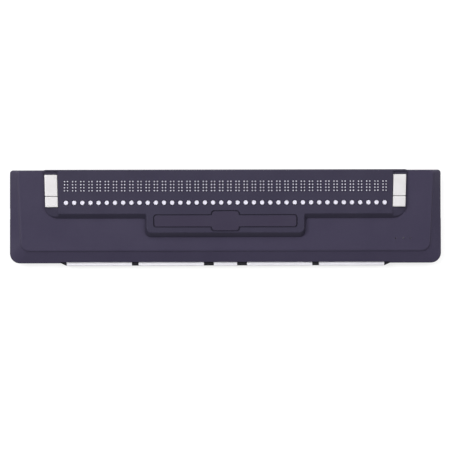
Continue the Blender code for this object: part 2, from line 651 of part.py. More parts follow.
def make_base_cover(parts, cutters, material):
    """Tray with the lip that carries the thumb keys, screw pads, board standoffs and foot pockets."""
    rim = case_outline()
    rings = [
        [(p.x, p.y, BASE_TOP_Z) for p in rim],
        [(p.x, p.y, BASE_BOTTOM_Z + BASE_EDGE_CHAMFER) for p in rim],
        [(p.x, p.y, BASE_BOTTOM_Z) for p in case_outline(BASE_EDGE_CHAMFER)],
    ]
    base = loft("base_cover", rings, parts, material, downwards=True)
    add_shell(base, CASE_WALL)

    lip_end = THUMB_OUTER_TO + SEAM_GAP
    wall_middle = CASE_FRONT_Y + CASE_WALL / 2
    lip = [
        (-lip_end, THUMB_LIP_Y),
        (lip_end, THUMB_LIP_Y),
        (lip_end + THUMB_LIP_TAPER, CASE_FRONT_Y + SEAM_GAP),
        (lip_end + THUMB_LIP_TAPER, wall_middle),
        (-lip_end - THUMB_LIP_TAPER, wall_middle),
        (-lip_end - THUMB_LIP_TAPER, CASE_FRONT_Y + SEAM_GAP),
    ]
    lip_solid = outline_solid("thumb_lip", lip, THUMB_LIP_BOTTOM_Z, BASE_TOP_Z, cutters)
    add_boolean(base, as_cutter(lip_solid), "UNION")

    def raised(bm):
        for x, y in SCREW_PLACES:
            add_prism(bm, x, y, BASE_FLOOR_Z - CASE_WALL / 2, PAD_TOP_Z, PAD_RADIUS, BOSS_SIDES)
        for x, y in STANDOFF_PLACES:
            top = MAIN_BOARD_BOTTOM_Z - SEAM_GAP
            add_prism(bm, x, y, BASE_FLOOR_Z - CASE_WALL / 2, top, STANDOFF_RADIUS, STANDOFF_SIDES)

    def cuts(bm):
        for x_low, x_high in THUMB_KEYS.values():
            add_box(
                bm,
                (x_low - SEAM_GAP, THUMB_LIP_Y - CUT_OVERRUN, THUMB_KEY_BOTTOM_Z - SEAM_GAP),
                (x_high + SEAM_GAP, THUMB_FLANGE_FRONT_Y, BASE_TOP_Z + CUT_OVERRUN),
            )
        for x, y in SCREW_PLACES:
            below, head_top = BASE_BOTTOM_Z - CUT_OVERRUN, BASE_BOTTOM_Z + SCREW_HEAD_HOLE_DEPTH
            add_prism(bm, x, y, below, head_top, SCREW_HEAD_HOLE_RADIUS, BOSS_SIDES)
        add_side_recesses(bm)

    def windows(bm):
        for x, y in SCREW_PLACES:
            below, above = BASE_BOTTOM_Z - CUT_OVERRUN, PAD_TOP_Z + CUT_OVERRUN
            add_prism(bm, x, y, below, above, SCREW_HOLE_RADIUS, SCREW_HOLE_SIDES)
        for y in SOCKET_PLACES_Y:
            half = SOCKET_WIDTH / 2 + SEAM_GAP
            add_box(
                bm,
                (HALF_WIDTH - CASE_WALL - CUT_OVERRUN, y - half, SOCKET_Z - SOCKET_HEIGHT / 2 - SEAM_GAP),
                (HALF_WIDTH + CUT_OVERRUN, y + half, SOCKET_Z + SOCKET_HEIGHT / 2 + SEAM_GAP),
            )
        half_length = POWER_BUTTON_LENGTH / 2 + SEAM_GAP
        half_height = POWER_BUTTON_HEIGHT / 2 + SEAM_GAP
        inner_x = -HALF_WIDTH + CASE_WALL + CUT_OVERRUN
        add_box(
            bm,
            (-HALF_WIDTH - CUT_OVERRUN, POWER_BUTTON_Y - half_length, POWER_BUTTON_Z - half_height),
            (inner_x, POWER_BUTTON_Y + half_length, POWER_BUTTON_Z + half_height),
        )

    add_boolean(base, as_cutter(mesh_object("base_raised", raised, cutters)), "UNION")
    add_boolean(base, as_cutter(mesh_object("base_cuts", cuts, cutters)), "DIFFERENCE")
    add_boolean(base, as_cutter(mesh_object("base_windows", windows, cutters)), "DIFFERENCE")
    for middle_y in (FOOT_BACK_Y, FOOT_FRONT_Y):
        low, high = BASE_BOTTOM_Z - CUT_OVERRUN, BASE_BOTTOM_Z + FOOT_POCKET_DEPTH
        pocket = outline_solid("foot_pocket", foot_outline(middle_y, SEAM_GAP), low, high, cutters)
        add_boolean(base, as_cutter(pocket), "DIFFERENCE")
    return base


def make_reading_panel(parts, cutters, material):
    """Raised panel over the cells: pin holes, key holes, plate pocket, notches for the side keys."""
    panel = loft("reading_panel", panel_rings(0.0, 0.0, PANEL_TOP_Z), parts, material, closed=True)
    depth_share = PANEL_THICKNESS / (PANEL_TOP_Z - palm_z(PANEL_STEP_Y))
    inside_rings = panel_rings(depth_share, -PANEL_THICKNESS, PANEL_UNDERSIDE_Z)
    inside = loft("panel_inside", inside_rings, cutters, closed=True)
    add_boolean(panel, as_cutter(inside), "DIFFERENCE")

    def below_palm(bm):
        """Everything lower than the palm surface and its seam, as one slanting block."""
        reach = HALF_WIDTH + CUT_OVERRUN
        back, front = CASE_BACK_Y + CUT_OVERRUN, CASE_FRONT_Y - CUT_OVERRUN
        add_box(bm, (-reach, front, 0), (reach, back, PARTING_Z))
        for vert in bm.verts:
            if vert.co.z > PARTING_Z / 2:
                vert.co.z = palm_z(vert.co.y) + SEAM_GAP

    def pin_holes(bm):
        radius = flats_radius(PIN_WIDTH + 2 * SEAM_GAP, PIN_SIDES)
        for x, y in pin_places():
            add_prism(bm, x, y, PANEL_UNDERSIDE_Z - SEAM_GAP, PANEL_TOP_Z + SEAM_GAP, radius, PIN_SIDES)

    def key_holes(bm):
        radius = flats_radius(2 * (ROUTING_KEY_RADIUS + SEAM_GAP), ROUTING_KEY_SIDES)
        low, high = PANEL_UNDERSIDE_Z - SEAM_GAP, PANEL_TOP_Z + SEAM_GAP
        for index in range(CELL_COUNT):
            add_prism(bm, cell_x(index), ROUTING_KEY_Y, low, high, radius, ROUTING_KEY_SIDES)

    def posts(bm):
        for x, y in panel_post_places():
            low, high = SWITCH_BOARD_TOP_Z + SEAM_GAP, PANEL_TOP_Z - PANEL_THICKNESS / 2
            add_prism(bm, x, y, low, high, PANEL_POST_RADIUS, STANDOFF_SIDES)

    add_boolean(panel, as_cutter(mesh_object("below_palm", below_palm, cutters)), "DIFFERENCE")
    for side in (-1, 1):
        notch = outline_solid(
            "side_key_notch", side_notch_outline(side), PARTING_Z, PANEL_TOP_Z + CUT_OVERRUN, cutters
        )
        add_boolean(panel, as_cutter(notch), "DIFFERENCE")
    add_boolean(panel, as_cutter(mesh_object("panel_posts", posts, cutters)), "UNION")
    pocket_floor = PANEL_TOP_Z - PLATE_THICKNESS - SEAM_GAP
    for outline in (plate_bar_outline(PLATE_GROOVE), plate_boss_outline(PLATE_GROOVE)):
        pocket = outline_solid("plate_pocket", outline, pocket_floor, PANEL_TOP_Z + CUT_OVERRUN, cutters)
        add_boolean(panel, as_cutter(pocket), "DIFFERENCE")
    add_boolean(panel, as_cutter(mesh_object("routing_key_holes", key_holes, cutters)), "DIFFERENCE")
    add_boolean(panel, as_cutter(mesh_object("pin_holes", pin_holes, cutters)), "DIFFERENCE")
    return panel


def panel_rings(top_share, grow, top_z):
    """A ring well below the palm surface, one on it, and the top at a share of the walls' run."""
    foot = panel_outline(1, grow)
    top = panel_outline(top_share, grow)
    return [
        [(p.x, p.y, PARTING_Z + grow) for p in foot],
        [(p.x, p.y, palm_z(p.y)) for p in foot],
        [(p.x, p.y, top_z) for p in top],
    ]


def side_notch_outline(side):
    """The opening for the two side keys at one end, open outwards."""
    back, front = SIDE_KEY_REAR_Y + SEAM_GAP, SIDE_KEY_FRONT_Y - SEAM_GAP
    outer = HALF_WIDTH + CUT_OVERRUN
    corners = [
        (side_key_x(front, 0) - SEAM_GAP, front),
        (outer, front),
        (outer, back),
        (side_key_x(back, 0) - SEAM_GAP, back),
    ]
    return [(side * x, y) for x, y in corners]


def panel_post_places():
    """Posts under the panel that hold the switch board down, between routing keys."""
    places = []
    for step in (-1, 0, 1):
        x = step * PANEL_POST_SPACING_CELLS * CELL_PITCH
        for offset in (-PANEL_POST_ROW_OFFSET, PANEL_POST_ROW_OFFSET):
            places.append((x, ROUTING_KEY_Y + offset))
    return places


def make_name_plate(parts, cutters, material):
    low, high = PANEL_TOP_Z - PLATE_THICKNESS, PANEL_TOP_Z
    plate = outline_solid("name_plate", plate_bar_outline(), low, high, parts, material)
    boss = outline_solid("plate_boss", plate_boss_outline(), low, high, cutters)
    add_boolean(plate, as_cutter(boss), "UNION")
    return plate


def pin_places():
    """X and Y of every braille pin."""
    places = []
    for index in range(CELL_COUNT):
        for column in range(DOT_COLUMN_COUNT):
            x = cell_x(index) + (column - (DOT_COLUMN_COUNT - 1) / 2) * DOT_PITCH
            for row in range(DOT_ROW_COUNT):
                places.append((x, row_y(row)))
    return places


def make_braille_pins(parts, cutters, material):
    """The 320 pins, raised. A thin carrier under the panel joins them, with a fin down to each reed row."""
    x = ROW_HALF_LENGTH - CELL_PITCH / 2 + DOT_PITCH / 2 + PIN_CARRIER_MARGIN
    carrier_depth = (DOT_ROW_COUNT - 1) * DOT_PITCH / 2 + PIN_CARRIER_MARGIN

    def carrier(bm):
        low = (-x, DOT_ROWS_Y - carrier_depth, PIN_CARRIER_BOTTOM_Z)
        add_box(bm, low, (x, DOT_ROWS_Y + carrier_depth, PIN_CARRIER_TOP_Z))

    def fins(bm):
        for row in range(DOT_ROW_COUNT):
            foot = reed_top_z(row) + PIN_RISE + PIN_FOOT_CLEARANCE
            inside = (PIN_CARRIER_BOTTOM_Z + PIN_CARRIER_TOP_Z) / 2
            inset = PIN_CARRIER_MARGIN / 2
            low = (-x + inset, row_y(row) - PIN_WIDTH / 2, foot)
            add_box(bm, low, (x - inset, row_y(row) + PIN_WIDTH / 2, inside))

    def pins(bm):
        radius = flats_radius(PIN_WIDTH, PIN_SIDES)
        inside = (PIN_CARRIER_BOTTOM_Z + PIN_CARRIER_TOP_Z) / 2
        for x, y in pin_places():
            add_prism(bm, x, y, inside, PANEL_TOP_Z + PIN_RISE, radius, PIN_SIDES)

    body = mesh_object("braille_pins", carrier, parts, material)
    add_boolean(body, as_cutter(mesh_object("pin_fins", fins, cutters)), "UNION")
    add_boolean(body, as_cutter(mesh_object("pin_bars", pins, cutters)), "UNION")
    return body


def make_braille_cells(parts, cutters, material):
    """Forty cells on one backplane. Seen from the side each is a comb: a clamp block and four reeds."""
    clamp_back = CELL_FRONT_Y + CELL_BLOCK_LENGTH
    inside = (BACKPLANE_BOTTOM_Z + BACKPLANE_TOP_Z) / 2
    profile = [(CELL_FRONT_Y, inside), (clamp_back, inside)]
    for row in range(DOT_ROW_COUNT):
        top = reed_top_z(row)
        tip = row_y(row) + REED_OVERHANG
        profile += [
            (clamp_back, top - REED_THICKNESS),
            (tip, top - REED_THICKNESS),
            (tip, top),
            (clamp_back, top),
        ]
    clamp_top = reed_top_z(DOT_ROW_COUNT - 1) + REED_THICKNESS
    profile += [(clamp_back, clamp_top), (CELL_FRONT_Y, clamp_top)]
    cell = outline_solid("cell", profile, -CELL_BODY_WIDTH / 2, CELL_BODY_WIDTH / 2, cutters)
    upright = Matrix(((0, 0, 1, 0), (1, 0, 0, 0), (0, 1, 0, 0), (0, 0, 0, 1)))

    def backplane(bm):
        x = ROW_HALF_LENGTH - BACKPLANE_MARGIN / 2
        low = (-x, CELL_FRONT_Y - BACKPLANE_MARGIN, BACKPLANE_BOTTOM_Z)
        add_box(bm, low, (x, CELL_BACK_Y, BACKPLANE_TOP_Z))

    def forty_cells(bm):
        for index in range(CELL_COUNT):
            before = len(bm.verts)
            bm.from_mesh(cell.data)
            bm.verts.ensure_lookup_table()
            place = Matrix.Translation((cell_x(index), 0, 0)) @ upright
            bmesh.ops.transform(bm, matrix=place, verts=bm.verts[before:])

    cells = mesh_object("braille_cells", backplane, parts, material)
    add_boolean(cells, as_cutter(mesh_object("forty_cells", forty_cells, cutters)), "UNION")
    bpy.data.objects.remove(cell, do_unlink=True)
    return cells


def make_routing_keys(parts, material):
    """Forty round keys. A flange under the panel keeps each one in."""
    top = PANEL_TOP_Z + ROUTING_KEY_PROUD
    flange = ROUTING_KEY_RADIUS + ROUTING_FLANGE_WIDTH
    middle = (top + ROUTING_KEY_BOTTOM_Z) / 2
    profile = [
        (0, top - middle),
        (ROUTING_KEY_RADIUS, top - middle),
        (ROUTING_KEY_RADIUS, ROUTING_FLANGE_TOP_Z - middle),
        (flange, ROUTING_FLANGE_TOP_Z - middle),
        (flange, ROUTING_KEY_BOTTOM_Z - middle),
        (0, ROUTING_KEY_BOTTOM_Z - middle),
    ]
    mesh = turned_mesh("routing_key", profile, ROUTING_KEY_SIDES, material)
    keys = []
    for index in range(CELL_COUNT):
        key = bpy.data.objects.new(f"routing_key_{index + 1:02d}", mesh)
        key.location = (cell_x(index), ROUTING_KEY_Y, middle)
        key.rotation_euler.z = math.pi / ROUTING_KEY_SIDES
        parts.objects.link(key)
        keys.append(key)
    return keys


def make_side_key(name, side, y_low, y_high, parts, material):
    """One side key: an L in section, whose foot hooks under the panel, sheared to follow the slanting end."""
    top = PANEL_TOP_Z + SIDE_KEY_PROUD
    middle_y, middle_z = (y_low + y_high) / 2, (top + SIDE_KEY_BOTTOM_Z) / 2
    flange_top = SIDE_KEY_BOTTOM_Z + SIDE_KEY_FLANGE_HEIGHT
    section = [
        (0, top),
        (0, flange_top),
        (-SIDE_KEY_FLANGE_WIDTH, flange_top),
        (-SIDE_KEY_FLANGE_WIDTH, SIDE_KEY_BOTTOM_Z),
        (SIDE_KEY_WIDTH, SIDE_KEY_BOTTOM_Z),
        (SIDE_KEY_WIDTH, top),
    ]
    section = [(x, z - middle_z) for x, z in section]
    length = y_high - y_low
    key = outline_solid(name, section, -length / 2, length / 2, parts, material)
    key.matrix_world = Matrix.Identity(4)
    lean = side_key_x(length, 0) - side_key_x(0, 0)
    upright = Matrix(((side, 0, side * lean / length, 0), (0, 0, 1, 0), (0, 1, 0, 0), (0, 0, 0, 1)))
    key.data.transform(upright)
    if upright.determinant() < 0:
        key.data.flip_normals()
    key.location = (side * side_key_x(middle_y, 0), middle_y, middle_z)
    return key


def make_side_keys(parts, material):
    split = SIDE_KEY_SPLIT_GAP / 2
    keys = []
    for word, side in (("left", -1), ("right", 1)):
        rear = (SIDE_KEY_SPLIT_Y + split, SIDE_KEY_REAR_Y)
        front = (SIDE_KEY_FRONT_Y, SIDE_KEY_SPLIT_Y - split)
        keys.append(make_side_key(f"side_key_{word}_rear", side, *rear, parts, material))
        keys.append(make_side_key(f"side_key_{word}_front", side, *front, parts, material))
    return keys


def make_thumb_keys(parts, material):
    """Five bars in the front lip, each with a flange behind the wall."""
    keys = []
    for name, (x_low, x_high) in THUMB_KEYS.items():
        half = (x_high - x_low) / 2
        middle_y = (THUMB_KEY_FRONT_Y + THUMB_FLANGE_BACK_Y) / 2
        middle_z = (THUMB_KEY_BOTTOM_Z + THUMB_KEY_TOP_Z) / 2
        front, back = THUMB_KEY_FRONT_Y - middle_y, THUMB_FLANGE_BACK_Y - middle_y
        shoulder = THUMB_FLANGE_FRONT_Y - middle_y
        outline = [
            (-half, front),
            (half, front),
            (half, shoulder),
            (half + THUMB_FLANGE_WIDTH, shoulder),
            (half + THUMB_FLANGE_WIDTH, back),
            (-half - THUMB_FLANGE_WIDTH, back),
            (-half - THUMB_FLANGE_WIDTH, shoulder),
            (-half, shoulder),
        ]
        key = outline_solid(name, outline, -THUMB_KEY_HEIGHT / 2, THUMB_KEY_HEIGHT / 2, parts, material)
        key.location = ((x_low + x_high) / 2, middle_y, middle_z)
        keys.append(key)
    return keys


def make_power_button(parts, material):
    """Push button in the left side, seen in plan as a T whose bar lies behind the wall."""
    outer = -HALF_WIDTH + SIDE_RECESS_DEPTH / 2
    wall_inside = -HALF_WIDTH + CASE_WALL + SEAM_GAP
    inner = wall_inside + POWER_FLANGE_DEPTH
    half = POWER_BUTTON_LENGTH / 2
    outline = [
        (outer, -half),
        (wall_inside, -half),
        (wall_inside, -half - POWER_FLANGE),
        (inner, -half - POWER_FLANGE),
        (inner, half + POWER_FLANGE),
        (wall_inside, half + POWER_FLANGE),
        (wall_inside, half),
        (outer, half),
    ]
    outline = [(x - outer, y) for x, y in outline]
    low, high = -POWER_BUTTON_HEIGHT / 2, POWER_BUTTON_HEIGHT / 2
    button = outline_solid("power_button", outline, low, high, parts, material)
    button.location = (outer, POWER_BUTTON_Y, POWER_BUTTON_Z)
    return button


def make_circuit_boards(parts, cutters, material):
    """Main board with sockets and switches, and the switch board under the keys, joined by a pin header."""

    def main_board(bm):
        x = MAIN_BOARD_HALF_WIDTH
        add_box(bm, (-x, MAIN_BOARD_FRONT_Y, MAIN_BOARD_BOTTOM_Z), (x, MAIN_BOARD_BACK_Y, MAIN_BOARD_TOP_Z))

    def ears(bm):
        x, front, back = MAIN_BOARD_EAR_X, MAIN_BOARD_EAR_FRONT_Y, MAIN_BOARD_EAR_BACK_Y
        add_box(bm, (-x, front, MAIN_BOARD_BOTTOM_Z), (x, back, MAIN_BOARD_TOP_Z))

    boards = mesh_object("circuit_boards", main_board, parts, material)
    add_boolean(boards, as_cutter(mesh_object("main_board_ears", ears, cutters)), "UNION")
    pad_key_x = side_key_x(SIDE_KEY_FRONT_Y, 0.5) + SWITCH_SIZE / 2 + SEAM_GAP
    strip_half = ROUTING_KEY_Y - SWITCH_BOARD_STRIP_DEPTH / 2, ROUTING_KEY_Y + SWITCH_BOARD_STRIP_DEPTH / 2
    pad_x = ROW_HALF_LENGTH + SWITCH_BOARD_END_MARGIN
    strip_outline = [
        (-pad_key_x, SIDE_KEY_REAR_Y),
        (-pad_key_x, strip_half[0]),
        (pad_key_x, strip_half[0]),
        (pad_key_x, SIDE_KEY_REAR_Y),
        (pad_x, SIDE_KEY_REAR_Y),
        (pad_x, strip_half[1]),
        (-pad_x, strip_half[1]),
        (-pad_x, SIDE_KEY_REAR_Y),
    ]
    board_low = SWITCH_BOARD_TOP_Z - BOARD_THICKNESS
    strip = outline_solid("switch_board", strip_outline, board_low, SWITCH_BOARD_TOP_Z, cutters)
    mat_top = ROUTING_KEY_BOTTOM_Z - ROUTING_KEY_TRAVEL - SWITCH_CLEARANCE
    side_switch_top = SIDE_KEY_BOTTOM_Z - SIDE_KEY_TRAVEL - SWITCH_CLEARANCE

    def fitted(bm):
        """The header, the switch mat, the side, thumb and power switches, and the socket shells."""
        mid = SWITCH_BOARD_TOP_Z - BOARD_THICKNESS / 2
        half_mat = SWITCH_MAT_WIDTH / 2
        add_box(
            bm,
            (cell_x(0) - half_mat, ROUTING_KEY_Y - half_mat, mid),
            (cell_x(CELL_COUNT - 1) + half_mat, ROUTING_KEY_Y + half_mat, mat_top),
        )
        half_switch = SWITCH_SIZE / 2
        for side in (-1, 1):
            rear_y = (SIDE_KEY_SPLIT_Y + SIDE_KEY_REAR_Y) / 2
            front_y = (SIDE_KEY_SPLIT_Y + SIDE_KEY_FRONT_Y) / 2
            for y in (rear_y, front_y):
                key_x = side * (side_key_x(y, 0) + side_key_x(y, 1)) / 2
                switch_low = (key_x - half_switch, y - half_switch, mid)
                add_box(bm, switch_low, (key_x + half_switch, y + half_switch, side_switch_top))
        board_mid = (MAIN_BOARD_BOTTOM_Z + MAIN_BOARD_TOP_Z) / 2
        header_x = ROW_HALF_LENGTH + HEADER_MARGIN
        header_y = ROUTING_KEY_Y - HEADER_LENGTH / 2
        header_end = (header_x + HEADER_WIDTH, header_y + HEADER_LENGTH, mid - SEAM_GAP)
        add_box(bm, (header_x, header_y, board_mid), header_end)
        for x_low, x_high in THUMB_KEYS.values():
            key_x = (x_low + x_high) / 2
            front = THUMB_FLANGE_BACK_Y + THUMB_KEY_TRAVEL + SWITCH_CLEARANCE
            add_box(
                bm,
                (key_x - half_switch, front, board_mid),
                (key_x + half_switch, front + SWITCH_SIZE, THUMB_KEY_TOP_Z - SEAM_GAP),
            )
        button_inner = -HALF_WIDTH + CASE_WALL + SEAM_GAP + POWER_FLANGE_DEPTH
        switch_outer = button_inner + POWER_BUTTON_TRAVEL + SWITCH_CLEARANCE
        switch_inner = -MAIN_BOARD_EAR_X + half_switch
        switch_top = POWER_BUTTON_Z + POWER_BUTTON_HEIGHT / 2
        add_box(
            bm,
            (switch_outer, POWER_BUTTON_Y - half_switch, board_mid),
            (switch_inner, POWER_BUTTON_Y + half_switch, switch_top),
        )
        for y in SOCKET_PLACES_Y:
            add_box(
                bm,
                (socket_face_x() - SOCKET_LENGTH, y - SOCKET_WIDTH / 2, SOCKET_Z - SOCKET_HEIGHT / 2),
                (socket_face_x(), y + SOCKET_WIDTH / 2, SOCKET_Z + SOCKET_HEIGHT / 2),
            )

    def cuts(bm):
        """Socket mouths, and clearance round the screw pads that stand in the main board."""
        for y in SOCKET_PLACES_Y:
            half_width = SOCKET_WIDTH / 2 - SOCKET_WALL
            half_height = SOCKET_HEIGHT / 2 - SOCKET_WALL
            add_box(
                bm,
                (socket_face_x() - SOCKET_DEPTH, y - half_width, SOCKET_Z - half_height),
                (socket_face_x() + CUT_OVERRUN, y + half_width, SOCKET_Z + half_height),
            )
        for x, y in SCREW_PLACES:
            low, high = MAIN_BOARD_BOTTOM_Z - SEAM_GAP, MAIN_BOARD_TOP_Z + SEAM_GAP
            add_prism(bm, x, y, low, high, PAD_RADIUS + 2 * SEAM_GAP, BOSS_SIDES)

    add_boolean(boards, as_cutter(strip), "UNION")
    add_boolean(boards, as_cutter(mesh_object("fitted_parts", fitted, cutters)), "UNION")
    add_boolean(boards, as_cutter(mesh_object("board_cuts", cuts, cutters)), "DIFFERENCE")
    return boards


def socket_face_x():
    """X of the open faces of the sockets, level with the bottom of their recess."""
    return HALF_WIDTH - SIDE_RECESS_DEPTH - SEAM_GAP


def make_battery_pack(parts, material):
    """Flat rechargeable pack with rounded long edges."""
    half, radius = BATTERY_WIDTH / 2, BATTERY_EDGE_RADIUS
    low, high = -BATTERY_HEIGHT / 2, BATTERY_HEIGHT / 2
    corners = [(-half, high, radius, BATTERY_EDGE_STEPS), (-half, low, radius, BATTERY_EDGE_STEPS)]
    section = rounded_outline(mirrored(corners))
    pack = outline_solid("battery_pack", section, -BATTERY_LENGTH / 2, BATTERY_LENGTH / 2, parts, material)
    x = ROW_HALF_LENGTH + BATTERY_ROW_MARGIN + half
    pack.location = (-x, BATTERY_Y, MAIN_BOARD_TOP_Z + SEAM_GAP - low)
    pack.rotation_euler.x = math.pi / 2
    return pack


def foot_outline(middle_y, grow=0.0):
    """A long strip with round ends."""
    depth = FOOT_HALF_DEPTH + grow
    radius = FOOT_HALF_DEPTH - SEAM_GAP
    return bar_outline(FOOT_HALF_LENGTH + grow, middle_y + depth, middle_y - depth, radius, FOOT_CORNER_STEPS)


def make_foot_strip(name, middle_y, parts, material):
    top = BASE_BOTTOM_Z + FOOT_POCKET_DEPTH - SEAM_GAP
    return outline_solid(name, foot_outline(middle_y), 0, top, parts, material)


def main():
    clear_scene()
    parts = make_collection("braille_display")
    cutters = make_collection("cutters")
    indigo = make_material("indigo_plastic", (0.062, 0.055, 0.093), 0.5)
    black = make_material("black_plastic", (0.035, 0.033, 0.042), 0.5)
    white = make_material("white_key_plastic", (0.80, 0.78, 0.80), 0.4)
    pin_white = make_material("white_pin_plastic", (0.78, 0.76, 0.84), 0.35)
    ceramic = make_material("cell_plastic", (0.45, 0.42, 0.33), 0.6)
    board = make_material("green_board", (0.03, 0.16, 0.07), 0.45)
    wrap = make_material("battery_wrap", (0.05, 0.13, 0.35), 0.4)
    rubber = make_material("foot_rubber", (0.02, 0.02, 0.02), 0.85)

    made = [
        make_top_cover(parts, cutters, indigo),
        make_base_cover(parts, cutters, black),
        make_reading_panel(parts, cutters, indigo),
        make_name_plate(parts, cutters, indigo),
        make_braille_cells(parts, cutters, ceramic),
        make_braille_pins(parts, cutters, pin_white),
        make_circuit_boards(parts, cutters, board),
        make_battery_pack(parts, wrap),
        make_foot_strip("rear_foot_strip", FOOT_BACK_Y, parts, rubber),
        make_foot_strip("front_foot_strip", FOOT_FRONT_Y, parts, rubber),
        make_power_button(parts, black),
        *make_side_keys(parts, white),
        *make_thumb_keys(parts, white),
        *make_routing_keys(parts, white),
    ]
    case = bpy.data.objects.new("case", None)
    parts.objects.link(case)
    for obj in made:
        obj.parent = case


main()
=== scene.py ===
"""Looks of the refreshable braille display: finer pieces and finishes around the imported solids.

Metres, +Z up, the reader sits at -Y, as in the solids.
"""

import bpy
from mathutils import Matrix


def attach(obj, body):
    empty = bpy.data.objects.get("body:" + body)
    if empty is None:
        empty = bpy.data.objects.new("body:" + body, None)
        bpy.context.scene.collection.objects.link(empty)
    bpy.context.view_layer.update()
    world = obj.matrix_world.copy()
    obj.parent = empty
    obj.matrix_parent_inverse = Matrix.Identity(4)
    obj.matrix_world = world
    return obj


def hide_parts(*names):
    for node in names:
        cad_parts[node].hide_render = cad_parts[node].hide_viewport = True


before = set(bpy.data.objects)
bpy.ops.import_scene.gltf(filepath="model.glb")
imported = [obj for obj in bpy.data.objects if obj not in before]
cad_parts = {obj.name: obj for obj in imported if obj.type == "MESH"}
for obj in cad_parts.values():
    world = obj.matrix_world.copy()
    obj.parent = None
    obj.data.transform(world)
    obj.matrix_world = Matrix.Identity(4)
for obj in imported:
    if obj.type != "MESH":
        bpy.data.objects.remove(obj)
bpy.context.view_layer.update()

import math

import bmesh
import bpy
from mathutils import Matrix, Vector

# The gap between pieces, how far a cutter overruns, and the parts of each straight side of the case
SEAM_GAP = 0.0003
OVERRUN = 0.004
OUTLINE_RUNS = 24

# Case
HALF_WIDTH = 0.170
CASE_BACK_Y = 0.0378
CASE_FRONT_Y = -0.0357
CASE_WALL = 0.0020
PARTING_Z = 0.0086
PARTING_EDGE = 0.0002
SIDE_WALL_TOP_Z = 0.0096
BASE_TOP_Z = 0.0083
BASE_BOTTOM_Z = 0.0012
BASE_FLOOR_Z = 0.0032
BASE_EDGE = 0.0016
BASE_EDGE_TOP_Z = 0.0037
TRAY_FILLET = 0.0003
FRONT_CORNER_RADIUS = 0.0080
BACK_CORNER_RADIUS = 0.0025
PALM_BACK_Z = 0.0174
PALM_SLOPE = 0.0030 / 0.0640
RIDGE_BACK_X = 0.1634
RIDGE_FRONT_X = 0.1607
RIDGE_BACK_Y = 0.0370
RIDGE_FRONT_Y = -0.0262
RIDGE_CORNER_RADIUS = 0.0070
RIDGE_ROUNDING = 0.0018
RIDGE_DROP = 0.00035
RIDGE_LIP = 0.0012
RIDGE_LIP_RUN = 0.0005
RIDGE_LEDGE = 0.0010
RIM_EDGE_RUN = 0.0011
RIM_EDGE_DROP = 0.0006
FRONT_RELIEF_HALF_WIDTH = 0.1299
FRONT_RELIEF_TOP_Z = 0.0108
FRONT_RELIEF_DEPTH = 0.0009
LIP_HALF_WIDTH = 0.1256
LIP_TAPER = 0.0046
LIP_REACH = 0.0019
LIP_FOOT_Z = 0.0024
SIDE_RECESS = 0.0004
SIDE_RECESS_RADIUS = 0.0006
POWER_RECESS_HALF_LENGTH = 0.0044
SOCKET_RECESS_FRONT_Y = -0.0010
SOCKET_RECESS_BACK_Y = 0.0340
BOSS_RADIUS = 0.0028
BOSS_FOOT_Z = 0.0049
SCREW_HOLE_RADIUS = 0.0015
BOSS_HOLE_TOP_Z = 0.0106
PAD_RADIUS = 0.0036
PAD_TOP_Z = 0.0046
STANDOFF_RADIUS = 0.0016
STANDOFF_TOP_Z = 0.0039
POST_FOOT_Z = 0.0022
POST_EDGE = 0.0002
FOOT_STRIPS = {"rear_foot_strip": 0.0310, "front_foot_strip": -0.0305}
FOOT_HALF_WIDTH = 0.1400
FOOT_HALF_DEPTH = 0.0025
FOOT_RADIUS = 0.0022
FOOT_TOP_Z = 0.0014

# Reading panel, name plate, pins and keys
PANEL_TOP_Z = 0.0196
PANEL_UNDERSIDE_Z = 0.0180
PANEL_SKIN = 0.0016
PANEL_WALL = 0.0013
PANEL_WALL_HEIGHT = 0.0040
PANEL_STEP_Y = 0.0030
PANEL_STEP_RUN = 0.0035
PANEL_BACK_RUN = 0.0008
PANEL_END_MARGIN = 0.0002
PANEL_END_RUN = 0.0014
PANEL_CORNER_RADIUS = 0.0105
PANEL_CORNER_SPREAD = 0.0013
TONGUE_HALF_WIDTH = 0.0618
TONGUE_FRONT_Y = -0.0118
TONGUE_SIDE_RUN = 0.0011
TONGUE_RADIUS = 0.0040
TONGUE_ROOT_RADIUS = 0.0012
RAMP_TO_SIDE = 0.24
RAMP_TO_FRONT = 0.20
PLATE_BAR_HALF_WIDTH = 0.0558
PLATE_BAR_BACK_Y = 0.0018
PLATE_BAR_FRONT_Y = -0.0072
PLATE_MIDDLE_HALF_WIDTH = 0.0107
PLATE_MIDDLE_BACK_Y = 0.0050
PLATE_MIDDLE_FRONT_Y = -0.0103
PLATE_THICKNESS = 0.0007
PLATE_GROOVE = 0.00075
PLATE_INSET = 0.00015
PLATE_GROOVE_FLOOR_Z = 0.0183
CELL_COUNT = 40
CELL_PITCH = 0.0064
DOT_PITCH = 0.0024
DOT_ROWS_Y = 0.0247
PIN_RADIUS = 0.0005
PIN_HOLE_RADIUS = 0.00072
PIN_TOP_Z = 0.0203
PIN_FOOT_Z = 0.0176
CARRIER_TOP_Z = 0.0177
CARRIER_FOOT_Z = 0.0171
CARRIER_HALF_DEPTH = 0.0045
CARRIER_MARGIN = 0.0009
FIN_HALF_THICKNESS = 0.0006
FIN_FOOT_Z = 0.0090
FIN_STEP = 0.0012
HOLE_EDGE = 0.00012
ROUTING_KEY_Y = 0.01165
ROUTING_KEY_RADIUS = 0.0017
ROUTING_KEY_TOP_Z = 0.0205
ROUTING_KEY_EDGE = 0.00035
ROUTING_FLANGE = 0.0007
ROUTING_FLANGE_TOP_Z = 0.0177
ROUTING_FLANGE_FOOT_Z = 0.0165
SIDE_KEY_REAR_Y = 0.0337
SIDE_KEY_SPLIT_Y = 0.0167
SIDE_KEY_FRONT_Y = 0.0083
SIDE_KEY_INNER_X = 0.1319
SIDE_KEY_WIDTH = 0.0099
